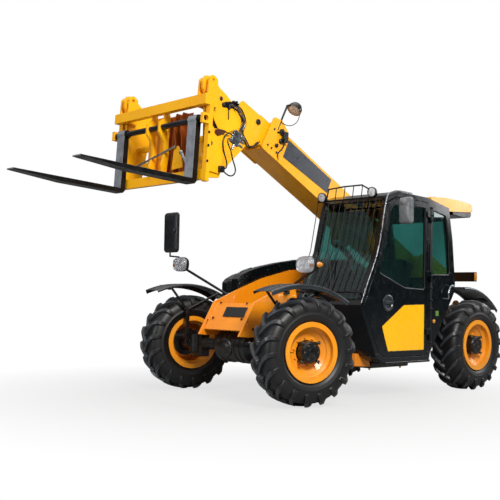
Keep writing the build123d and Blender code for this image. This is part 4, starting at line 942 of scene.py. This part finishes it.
def mirror_head(name, centre, half_y, half_z, corner, clamp, material):
    """A crowned mirror shell with its clamp, and the glass on its rear face."""

    def ring(along, inset):
        loop = []
        for k in range(48):
            turn = math.tau * (k + 0.5) / 48
            reach = corner - min(inset, corner * 0.8)
            y = math.copysign(half_y - corner, math.cos(turn)) + reach * math.cos(turn)
            z = math.copysign(half_z - corner, math.sin(turn)) + reach * math.sin(turn)
            squeeze = max(0.02, 1 - max(0.0, inset - corner * 0.8) / (half_y - corner * 0.2))
            loop.append(centre + Vector((along, y * squeeze, z * squeeze)))
        return loop

    shell = Shape()
    profile = (
        (-0.014, 0.01), (-0.02, 0.004), (-0.018, 0.0), (-0.004, 0.0), (0.006, 0.006),
        (0.013, 0.02), (0.019, 0.045), (0.022, 0.08), (0.023, 0.5),
    )
    shell.grid([ring(along, inset) for along, inset in profile])
    place = centre + Vector((0.016, clamp[0], clamp[1]))
    shell.lathe(((-0.01, 0.03), (0.012, 0.028), (0.018, 0.02), (0.019, 0.0)), place, (1, 0, 0), 24)
    piece = shell.finish(f"{name}_mirror_shell", material, "chassis")
    pane = Shape()
    pane.grid([ring(-0.013, 0.012), ring(-0.0135, 0.5)])
    pane.finish(f"{name}_mirror_pane", "mirror_glass", "chassis")
    return piece


far_head = mirror_head("right", at(-0.183, -1.313, 1.743), 0.13, 0.23, 0.045, (0.08, 0.02), "mirror_back")
# the near shell takes the pale painted sheen; both mirrors are the same dark plastic
mirror_head("left", at(-1.05, 1.363, 1.908), 0.085, 0.134, 0.034, (-0.01, 0.085), "mirror_painted_sheen")
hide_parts("mirrors")
marker = Shape()
marker.lathe(
    ((-0.03, 0.02), (0.0, 0.026), (0.012, 0.026), (0.018, 0.02), (0.02, 0.0)), at(-0.075, 1.115, 1.335),
    (1, 0.25, 0), 24,
)
marker.finish("left_front_marker", "amber", "chassis")

GUARD_LAMPS = (("left", 1.0, 2.11, -0.03), ("right", 0.31, 2.1, 0.03))
for name, y, z, _ in GUARD_LAMPS:
    round_lamp(f"guard_lamp_{name}", at(-0.965, y, z), (1, 0.1, -0.1), 0.052, "chassis")
brackets = Shape()
for _, y, z, inward in GUARD_LAMPS:
    brackets.tube([at(-1.0, y, z), at(-1.04, y, z - 0.01), at(-1.075, y + inward, z - 0.06)], 0.009, 10)
brackets.finish("guard_lamp_brackets", "black", "chassis")
lamp_at = on_boom(2.66, 0.17, 0.36)
round_lamp("boom_lamp", lamp_at, on_boom(2.66 + 0.1736, 0.17, 0.36 - 0.9848) - lamp_at, 0.0785, "boom")
stay = Shape()
stay.tube([on_boom(2.755, 0.159, 0.02), on_boom(2.765, 0.165, 0.33)], 0.0105, 12)
stay.tube(
    [on_boom(2.765, 0.165, 0.323), on_boom(2.765, 0.165, 0.332), on_boom(2.7, 0.17, 0.399)], 0.0105, 12, 3,
)
stay.finish("boom_lamp_stay", "hose", "boom")

for side, name in ((1, "rear_lens_left"), (-1, "rear_lens_right")):
    for colour, ends, across, heights, bevel in (
        ("amber", (-3.325, -3.275), (0.705, 0.728), (1.265, 1.36), 0.004),
        ("red", (-3.345, -3.328), (0.5, 0.68), (1.27, 1.355), 0.005),
    ):
        near, far = sorted(side * y for y in across)
        lens_block = Shape()
        lens_block.box(at(ends[0], near, heights[0]), at(ends[1], far, heights[1]))
        lens_block.finish(f"{name}_{colour}", colour, "chassis", bevel)

# ------------------------------------------------------------------ boom and carriage details
BOOM_PANEL = ((2.556, 0.037), (2.543, -0.173), (1.781, -0.128), (1.793, 0.04))
outline = [on_boom(u, 0.1502, w) for u, w in BOOM_PANEL]
slab_piece("boom_side_panel", outline, (0, 0.0014, 0), "decal", "boom")

fittings = Shape()
for u, w, radius in ((2.7, 0.03, 0.035), (2.665, -0.06, 0.028), (2.7, -0.14, 0.02)):
    fittings.lathe(
        ((0, radius), (0.02, radius), (0.024, radius * 0.8), (0.024, 0)), on_boom(u, 0.168, w), (0, 1, 0), 28,
    )
fittings.box(
    on_boom(2.64, 0.168, 0.0) - Vector((0.03, 0, 0.05)), on_boom(2.64, 0.205, 0.0) + Vector((0.03, 0, 0.06)),
)
fittings.tube(
    [
        on_boom(2.72, 0.185, 0.03), on_boom(2.66, 0.2, -0.03), on_boom(2.62, 0.19, -0.1),
        on_boom(2.64, 0.175, -0.2), on_boom(2.6, 0.165, -0.25),
    ],
    0.007, 10, 6,
)
fittings.finish("boom_mouth_fittings", "hose", "boom", 0.002)

pads = Shape()
for side in (1, -1):
    for u in (2.66, 2.74, 2.8):
        for w in (-0.2, 0.0):
            pads.bolt(on_boom(u, side * 0.1685, w), (0, side, 0), 0.009, 0.007)
    place = on_boom(2.998, side * 0.125, -0.048)
    pads.lathe(((0, 0.03), (0.01, 0.03), (0.013, 0.026), (0.013, 0)), place, (0, side, 0), 28)
pads.finish("wear_pad_bolts", "steel", "boom", 0.0008)

hoses = Shape()
line = [
    (3.36, -0.105), (3.28, -0.1), (3.2, -0.14), (3.155, -0.2), (3.15, -0.27), (3.13, -0.31), (3.06, -0.34),
    (2.99, -0.365), (2.94, -0.31), (2.91, -0.24),
]
for shift in (0.0, 0.016):
    hoses.tube([on_boom(u - shift, 0.136 + shift * 0.4, w + shift) for u, w in line], 0.0065, 10, 5)
hoses.finish("nose_hoses", "hose", "boom_inner")
steel_pipes = Shape()
steel_pipes.tube([on_boom(u + 0.02, 0.134, w - 0.012) for u, w in line[1:7]], 0.0045, 10, 5)
for u, w in ((3.3, -0.09), (3.18, -0.16), (3.15, -0.25), (3.1, -0.32)):
    steel_pipes.box(
        on_boom(u, 0.125, w) - Vector((0.014, 0, 0.012)), on_boom(u, 0.148, w) + Vector((0.014, 0, 0.012)),
    )
steel_pipes.box(
    on_boom(3.17, 0.125, -0.345) - Vector((0.035, 0, 0.03)),
    on_boom(3.17, 0.165, -0.345) + Vector((0.035, 0, 0.03)),
)
for k in range(3):
    steel_pipes.tube(
        [on_boom(3.19 - k * 0.03, 0.15, -0.36), on_boom(3.2 - k * 0.03, 0.15, -0.44)], (0.01, 0.013), 12,
    )
steel_pipes.finish("nose_couplings", "bolt", "boom_inner", 0.002)

# fork carriage
brace = Shape()
brace.tube([on_forks(-0.074, -0.331, 0.215), on_forks(-0.074, 0.225, 0.338)], 0.011, 14)
brace.lathe(((-0.02, 0.0125), (0.02, 0.0125)), on_forks(-0.0745, 0.225, 0.338), (0, 1, 0.2), 16)
brace.finish("carriage_brace", "silver", "carriage")

pins = Shape()
for side in (1, -1):
    for b in (0.3, 0.16, 0.42):
        pins.bolt(on_forks(-0.082, side * 0.7155, b), (0, side, 0), 0.009, 0.008)
pins.finish("carriage_pin_ends", "steel", "carriage", 0.001)


# plates of the left cheek: name, height above its face, thickness, material, bevel, outline in (x, z)
CHEEK_Y = 0.6302
JAW_OUTER = (
    (0.837, 2.866), (0.895, 2.845), (0.934, 2.818), (0.939, 2.772), (0.939, 2.721),
    (0.933, 2.682), (0.909, 2.635), (0.876, 2.59), (0.835, 2.55),
)
JAW_INNER = (
    (0.816, 2.856), (0.853, 2.829), (0.872, 2.793), (0.873, 2.742),
    (0.869, 2.692), (0.853, 2.634), (0.83, 2.597), (0.798, 2.553),
)
CHEEK_PLATES = (
    ("cheek_front_plate", 0, 0.018, "yellow", 0.003, (
        (0.945, 2.665), (0.942, 2.538), (0.845, 2.534), (0.742, 2.5), (0.742, 2.476), (0.732, 2.385),
        (0.751, 2.24), (0.774, 2.135), (0.9, 2.15), (0.935, 2.165), (0.94, 2.313), (0.94, 2.484),
    )),
    ("cheek_round_plate", 0, 0.015, "yellow", 0.003, (
        (0.875, 2.762), (0.862, 2.815), (0.821, 2.857), (0.77, 2.872), (0.7, 2.835), (0.625, 2.764),
        (0.56, 2.68), (0.529, 2.595), (0.678, 2.529), (0.8, 2.548), (0.852, 2.623), (0.873, 2.691),
    )),
    ("cheek_jaw_liner", 0, 0.006, "steel", 0.001, JAW_OUTER + JAW_INNER[::-1]),
    # painted shadow: the lock bar's dark brown stands for the shade under the round plate
    ("cheek_lock_bar_painted_shadow", 0.018, 0.01, "bronze", 0.004, (
        (0.847, 2.533), (0.801, 2.546), (0.711, 2.539), (0.734, 2.507), (0.813, 2.478), (0.849, 2.501),
    )),
)
for name, lift, thick, material, bevel, outline in CHEEK_PLATES:
    slab_piece(
        name, side_on(CHEEK_Y + lift, outline), (0, thick, 0), material, "carriage", bevel,
    )
cheek_bolts = Shape()
CHEEK_BOLTS = (
    (0.821, 2.896, 0), (0.773, 2.828, 0.015), (0.888, 2.404, 0.018), (0.917, 2.289, 0.018),
    (0.925, 2.24, 0.018), (0.903, 2.508, 0.018),
)
for x, z, lift in CHEEK_BOLTS:
    cheek_bolts.lathe(
        ((0, 0.02), (0.004, 0.02), (0.006, 0.012), (0.01, 0.011), (0.01, 0)), at(x, CHEEK_Y + lift, z),
        (0, 1, 0), 20,
    )
cheek_bolts.finish("cheek_bolts", "bronze", "carriage")


def cheek_hose(name, line, y, radius, material="hose"):
    """A clamped hose or pipe that lies along the cheek."""
    hose = Shape()
    hose.tube(side_on(y, line), radius, 10, 6)
    hose.finish(name, material, "carriage")


def hanging_hose(name, route, radius, body):
    """A free hose on one smooth curve, from its exit to its far union."""
    curve = bpy.data.curves.new(name, "CURVE")
    curve.dimensions = "3D"
    curve.resolution_u = 8
    curve.bevel_depth = radius
    curve.bevel_resolution = 4
    spline = curve.splines.new("NURBS")
    spline.points.add(len(route) - 1)
    for point, place in zip(spline.points, route):
        point.co = (*place, 1.0)
    spline.order_u = 3
    spline.use_endpoint_u = True
    curve.materials.append(MAT["hose"])
    hose = link_object(name, curve)
    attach(hose, body)
    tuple(route[0])


FRONT_ROUTE = (
    (0.652, 0.6585, 2.512), (0.68, 0.66, 2.522), (0.716, 0.661, 2.508), (0.744, 0.661, 2.474),
    (0.756, 0.661, 2.43), (0.75, 0.661, 2.361), (0.727, 0.661, 2.303), (0.706, 0.661, 2.252),
    (0.703, 0.661, 2.212), (0.718, 0.661, 2.188), (0.748, 0.661, 2.184),
)
REAR_ROUTE = (
    (0.666, 0.6555, 2.474), (0.69, 0.66, 2.47), (0.7, 0.661, 2.448), (0.69, 0.662, 2.41), (0.664, 0.663, 2.375),
    (0.652, 0.664, 2.335), (0.64, 0.665, 2.285), (0.612, 0.667, 2.228), (0.6, 0.668, 2.18),
    (0.62, 0.668, 2.142), (0.664, 0.668, 2.124), (0.712, 0.668, 2.136), (0.75, 0.665, 2.164),
)
hanging_hose("service_hose_front", [at(*point) for point in FRONT_ROUTE], 0.0065, "carriage")
hanging_hose("service_hose_rear", [at(*point) for point in REAR_ROUTE], 0.0065, "carriage")
union = Shape()
union.box(at(0.744, CHEEK_Y + 0.016, 2.15), at(0.8, 0.682, 2.206))
union.lathe(((-0.004, 0.01), (0.014, 0.01)), at(0.75, 0.661, 2.184), (-1, 0, 0), 16)
union.lathe(((-0.004, 0.01), (0.014, 0.01)), at(0.75, 0.665, 2.164), (-0.8, 0, -0.55), 16)
union.finish("service_hose_union", "hose", "carriage", 0.004)
FEED_HOSE_INNER = (
    (0.665, 2.775), (0.632, 2.765), (0.576, 2.742), (0.533, 2.692), (0.504, 2.655), (0.507, 2.618),
    (0.53, 2.583), (0.551, 2.56),
)
FEED_HOSE_OUTER = (
    (0.65, 2.795), (0.611, 2.778), (0.555, 2.751), (0.512, 2.695), (0.483, 2.647), (0.489, 2.605),
    (0.516, 2.565), (0.53, 2.55),
)
FEED_PIPE = (
    (0.66, 2.785), (0.62, 2.771), (0.566, 2.746), (0.523, 2.693), (0.494, 2.651), (0.498, 2.612),
    (0.523, 2.572),
)
cheek_hose("feed_hose_inner", FEED_HOSE_INNER, 0.652, 0.0075)
cheek_hose("feed_hose_outer", FEED_HOSE_OUTER, 0.656, 0.0075)
cheek_hose("feed_pipe", FEED_PIPE, 0.668, 0.0045, "silver")
couplers = Shape()
lean = (Vector((0.597, 0, 2.562)) - Vector((0.661, 0, 2.414))).normalized()
cross = Vector((-lean.z, 0, lean.x))
middle = at(0.585, 0.636, 2.48)
BLOCK = ((-0.055, -0.062), (0.072, -0.05), (0.068, 0.045), (-0.06, 0.04))
couplers.slab([middle + lean * u + cross * v for u, v in BLOCK], (0, 0.03, 0))
for k in range(3):
    foot = middle + lean * (0.045 - k * 0.042) + cross * 0.035 + Vector((0, 0.022, 0))
    couplers.lathe(
        ((0, 0.013), (0.03, 0.013), (0.032, 0.01), (0.052, 0.01), (0.054, 0.007), (0.062, 0.007)), foot, cross,
        18,
    )
    couplers.lathe(
        ((0, 0.011), (0.02, 0.011), (0.024, 0.008)), foot - cross * 0.085 + Vector((0, 0.004, 0)), -cross, 18,
    )
couplers.lathe(
    ((-0.03, 0.013), (0.0, 0.013), (0.004, 0.01), (0.018, 0.01)), at(0.634, 0.6585, 2.394), (0.397, 0, -0.918),
    18,
)
couplers.finish("service_couplers", "silver", "carriage", 0.002)
knobs = Shape()
KNOBS = (
    (0.747, 2.771, 0.016), (0.705, 2.795, 0.015), (0.652, 2.777, 0.02), (0.628, 2.815, 0.016),
    (0.592, 2.818, 0.015), (0.575, 2.8, 0.012), (0.68, 2.75, 0.014),
)
KNOB_PROFILE = ((0, 1), (0.014, 1), (0.016, 0.7), (0.03, 0.7), (0.032, 0.5), (0.036, 0))
KNOB_BASE = ((0.765, 2.79), (0.7, 2.815), (0.585, 2.828), (0.575, 2.795), (0.65, 2.755), (0.745, 2.75))
for x, z, radius in KNOBS:
    profile = [(along, radius * scale) for along, scale in KNOB_PROFILE]
    knobs.lathe(profile, at(x, CHEEK_Y + 0.012, z), (0.25, 1, 0.1), 16)
knobs.slab(side_on(CHEEK_Y, KNOB_BASE), (0, 0.016, 0))
knobs.tube([at(0.683, 0.65, 2.75), at(0.688, 0.655, 2.7), at(0.683, 0.65, 2.648)], 0.005, 8)
knobs.finish("valve_cluster", "hose", "carriage", 0.002)

outline = [on_forks(-0.15, y, b) for y, b in ((-0.265, 0.08), (0.04, 0.08), (0.04, 0.672), (-0.285, 0.672))]
slab_piece("carriage_screen", outline, FORK_ALONG * 0.008, "wheel", "carriage", 0.002)
LEAD_ROUTE = (
    (2.76, 0.172, 0.12), (2.7, 0.171, 0.125), (2.62, 0.17, 0.17), (2.565, 0.17, 0.25), (2.56, 0.17, 0.33),
    (2.59, 0.17, 0.395), (2.655, 0.17, 0.415),
)
hanging_hose("boom_lamp_lead", [on_boom(*point) for point in LEAD_ROUTE], 0.004, "boom")

# painted shade: back sheet and ribs take the darker orange where the near side plate shades them
backing = Shape()
backing.slab(
    [
        on_forks(-0.185, y, b)
        for y, b in ((-0.03, 0.105), (0.315, 0.105), (0.33, 0.4), (0.345, 0.672), (-0.04, 0.672))
    ],
    FORK_ALONG * 0.008,
)
RIB = (
    (-0.178, 0.672), (-0.118, 0.672), (-0.096, 0.6), (-0.092, 0.52), (-0.12, 0.42),
    (-0.128, 0.3), (-0.112, 0.18), (-0.118, 0.1), (-0.178, 0.1),
)
for y in (0.165, 0.262):
    backing.slab([on_forks(a, y, b) for a, b in RIB], (0, 0.014, 0))
backing.finish("carriage_backing", "shade", "carriage", 0.002)
WEDGE = ((0.167, 2.195), (0.201, 2.401), (0.263, 2.413), (0.305, 2.35), (0.325, 2.205))
outline = [at(0.95, y, z) for y, z in WEDGE]
slab_piece("carriage_wedge", outline, FORK_ALONG * 0.012, "yellow", "carriage", 0.002)
catch = Shape()
catch.tube([on_forks(-0.056, 0.359, 0.273), on_forks(-0.063, 0.437, 0.164)], 0.014, 16)
catch.lathe(((-0.01, 0.02), (0.01, 0.02)), on_forks(-0.056, 0.362, 0.268), (0, 1, -1.2), 18)
catch.finish("carriage_catch", "silver", "carriage", 0.001)

# ------------------------------------------------------------------ nose, plates, bonnet
heads = Shape()
for side in (1, -1):
    for x, z in ((0.02, 0.7), (-0.06, 0.72), (-0.14, 0.7), (-0.3, 0.98), (-0.62, 0.6), (-0.9, 0.56)):
        heads.bolt(at(x, side * 0.3205, z), (0, side, 0), 0.011, 0.009)
for y in (-0.22, 0.22):
    heads.bolt(at(0.088, y, 0.8), (0.85, 0, 0.5), 0.01, 0.008)
for y in (-0.2, 0.2):
    heads.bolt(at(0, y, 0.955), (0.85, 0, 0.5), 0.009, 0.007)
heads.finish("nose_bolts", "steel", "chassis", 0.0008)

NOSE_PLATE = ((0.0175, -0.085, 0.914), (0.0175, 0.235, 0.914), (0.0755, 0.235, 0.817), (0.0755, -0.085, 0.817))
outline = [at(*corner) for corner in NOSE_PLATE]
slab_piece("nose_blank_plate", outline, (0.003, 0, 0.0018), "bonnet", "chassis", 0.001)
cover = Shape()
cover.lathe(
    ((0.0, 0.1), (0.012, 0.1), (0.016, 0.094), (0.02, 0.062), (0.03, 0.055), (0.034, 0.046), (0.034, 0.0)),
    at(0.054, -0.05, 0.5), (1, 0, 0), 40,
)
for k in range(8):
    turn = math.tau * (k + 0.5) / 8
    cover.bolt(at(0.068, -0.05 + 0.079 * math.cos(turn), 0.5 + 0.079 * math.sin(turn)), (1, 0, 0), 0.008, 0.007)
cover.finish("differential_cover", "casting", "chassis", 0.001)
COWL_LID = (
    (-2.06, 2.16), (-2.27, 2.172), (-2.594, 2.162), (-2.8, 2.138), (-2.812, 2.118),
    (-2.812, 2.06), (-2.79, 2.048), (-2.74, 2.095), (-2.3, 2.138),
)
# painted shade: a black slab under the yellow lid for the lid's shaded underside
COWL_SHADED_UNDERSIDE = (
    (-2.42, 2.03), (-2.44, 1.992), (-2.62, 1.974), (-2.785, 1.986),
    (-2.808, 2.012), (-2.806, 2.05), (-2.77, 2.052), (-2.5, 2.04),
)
slab_piece(
    "roof_cowl_lid", side_on(0.262, COWL_LID), (0, 0.725, 0), "yellow", "chassis", 0.01, 35, 3,
)
slab_piece(
    "roof_cowl_painted_shade", side_on(0.275, COWL_SHADED_UNDERSIDE), (0, 0.7, 0), "black", "chassis", 0.008, 35, 3,
)
# painted highlight: a silver line for the gloss along the bonnet's edge
edge_line = Shape()
edge_line.tube(side_on(-0.4365, ((-0.4, 1.2), (-0.415, 1.262), (-0.52, 1.312), (-0.64, 1.345))), 0.005, 8, 3)
edge_line.finish("bonnet_edge_painted_highlight", "silver", "bonnet")


def side_slat(shape, y, low, high, depth):
    """An upright slat on the engine pod's side, between two (x, z) corners."""
    (x, z), (end, top) = low, high
    shape.slab(side_on(y, ((x, z), (end, z), (end, top), (x, top))), (0, -depth, 0))


POD_Y = -1.1195
slats = Shape()
for k in range(7):
    z = 1.09 + k * 0.02
    face = ((-0.803, -1.04, z), (-0.803, -0.5, z), (-0.812, -0.5, z + 0.012), (-0.812, -1.04, z + 0.012))
    slats.slab([at(*corner) for corner in face], (0.006, 0, 0))
for k in range(11):
    x = -1.25 - k * 0.055
    side_slat(slats, POD_Y, (x, 1.12), (x - 0.03, 1.36), 0.006)
slats.finish("bonnet_louvres", "trim", "bonnet", 0.002)
BRACKET = ((-0.905, 0.462), (-1.09, 0.452), (-1.138, 0.318), (-0.885, 0.336))
slab_piece("sill_bracket", side_on(0.8, BRACKET), (0, 0.066, 0), "orange", "chassis", 0.004)
plugs = Shape()
for x in (-1.2, -1.72):
    plugs.lathe(
        ((-0.012, 0.016), (0.0, 0.016), (0.004, 0.011), (0.02, 0.01), (0.022, 0.0)), at(x, 0.8, 0.3),
        (0, 0, -1), 16,
    )
plugs.finish("tank_plugs", "panel", "chassis")
bay = Shape()
for k in range(9):
    z = 0.6 + k * 0.042
    side_slat(bay, POD_Y, (-0.95, z), (-1.55, z + 0.022), 0.007)
bay.box(at(-2.0, -1.128, 0.62), at(-1.66, -1.119, 0.98))
bay.finish("engine_bay_grille", "trim", "chassis", 0.002)

steps = Shape()
steps.tube([at(-1.105, 1.078, 0.372), at(-1.86, 1.078, 0.372)], 0.014, 12)
for k in range(14):
    x = -1.18 - k * 0.048
    steps.box(at(x - 0.006, 0.985, 0.366), at(x + 0.006, 1.066, 0.3745))
steps.finish("cab_step", "black", "chassis", 0.001)

# ------------------------------------------------------------------ stage, lights, camera
floor = bpy.data.meshes.new("studio_floor")
floor.from_pydata(
    [(-40, -40, -0.001), (40, -40, -0.001), (40, 40, -0.001), (-40, 40, -0.001)], [], [(0, 1, 2, 3)],
)
ground = Nodes("floor_pale")
ground.set(Base_Color=ground.mix(ground.noise(0.8), (0.26, 0.26, 0.26, 1), (0.3, 0.3, 0.3, 1)), Roughness=0.8)
place = ground.new("VectorMath")
place.operation = "LENGTH"
ground.link(ground.coordinates, place.inputs[0])
fade = ground.spread(place.outputs["Value"], 1.5, 4.0, 0.72, 1.0)
seen = ground.new("LightPath").outputs["Is Camera Ray"]
white = ground.new("Emission")
white.inputs["Color"].default_value = (1, 1, 1, 1)
blend = ground.new("MixShader")
output = next(node for node in ground.tree.nodes if node.type == "OUTPUT_MATERIAL")
surface = output.inputs["Surface"].links[0].from_socket
ground.link(ground.math("MULTIPLY", fade, seen), blend.inputs[0])
ground.link(surface, blend.inputs[1])
ground.link(white.outputs[0], blend.inputs[2])
ground.link(blend.outputs[0], output.inputs["Surface"])
floor.materials.append(ground.material)
floor_object = link_object("studio_floor", floor)

world = bpy.data.worlds.new("studio")
bpy.context.scene.world = world
world.use_nodes = True
tree = world.node_tree
background = tree.nodes["Background"]
coordinates = tree.nodes.new("ShaderNodeTexCoord")
split = tree.nodes.new("ShaderNodeSeparateXYZ")
tree.links.new(coordinates.outputs["Generated"], split.inputs[0])


def sky_ramp(low, high, dark, bright):
    ramp = tree.nodes.new("ShaderNodeMapRange")
    ramp.interpolation_type = "SMOOTHSTEP"
    for name, value in (("From Min", low), ("From Max", high), ("To Min", dark), ("To Max", bright)):
        ramp.inputs[name].default_value = value
    tree.links.new(split.outputs["Z"], ramp.inputs["Value"])
    return ramp.outputs["Result"]


def choose(switch, otherwise, chosen):
    """chosen where the ray is of the switch's kind."""
    node = tree.nodes.new("ShaderNodeMix")
    node.data_type = "FLOAT"
    for socket, value in zip((node.inputs[0], node.inputs[2], node.inputs[3]), (switch, otherwise, chosen)):
        if isinstance(value, bpy.types.NodeSocket):
            tree.links.new(value, socket)
        else:
            socket.default_value = value
    return node.outputs[0]


rays = tree.nodes.new("ShaderNodeLightPath")
strength = choose(
    rays.outputs["Is Glossy Ray"], sky_ramp(-0.2, 0.9, 0.05, 0.55), sky_ramp(0.05, 0.8, 0.01, 0.8),
)
strength = choose(rays.outputs["Is Transmission Ray"], strength, 0.55)
strength = choose(rays.outputs["Is Camera Ray"], strength, 1.0)
tree.links.new(strength, background.inputs["Strength"])
background.inputs["Color"].default_value = (1, 1, 1, 1)


def area_light(name, place, target, size, power, colour=(1, 1, 1)):
    data = bpy.data.lights.new(name, "AREA")
    data.shape = "RECTANGLE"
    data.size, data.size_y = size
    data.energy = power
    data.color = colour
    lamp = link_object(name, data)
    lamp.location = place
    lamp.rotation_euler = (Vector(target) - Vector(place)).to_track_quat("-Z", "Y").to_euler()


area_light("key", (3.5, 7.5, 6.0), (0, 0, 1.2), (3.0, 2.4), 880, (1.0, 0.97, 0.93))
area_light("sky", (0.0, 0.5, 8.5), (0, 0, 1.0), (7.0, 6.0), 260)
area_light("front", (8.5, -1.5, 3.2), (0.5, 0, 1.0), (3.0, 2.5), 190, (0.95, 0.98, 1.0))
area_light("rim", (-7.5, 4.0, 4.0), (-1.5, 0.5, 1.2), (2.5, 3.0), 170)

yaw, pitch, roll = (math.radians(angle) for angle in (46.497, 2.204, 1.001))
FRAME = 500
CENTRE = (264.19, 262.95)
FOCAL = 867.8
toward = Vector((-math.cos(yaw) * math.cos(pitch), -math.sin(yaw) * math.cos(pitch), math.sin(pitch)))
right = Vector((-math.sin(yaw), math.cos(yaw), 0))
above = right.cross(toward)
tilted = right * math.cos(roll) + above * math.sin(roll)
upright = above * math.cos(roll) - right * math.sin(roll)
lens_data = bpy.data.cameras.new("camera")
lens_data.sensor_width = 36
lens_data.lens = FOCAL / FRAME * lens_data.sensor_width
lens_data.shift_x = -(CENTRE[0] - FRAME / 2) / FRAME
lens_data.shift_y = (CENTRE[1] - FRAME / 2) / FRAME
camera = link_object("camera", lens_data)
matrix = Matrix((tilted, upright, -toward)).transposed().to_4x4()
matrix.translation = at(5.884, 6.639, 1.029)
camera.matrix_world = matrix
bpy.context.scene.camera = camera
bpy.context.scene.view_settings.view_transform = "Standard"
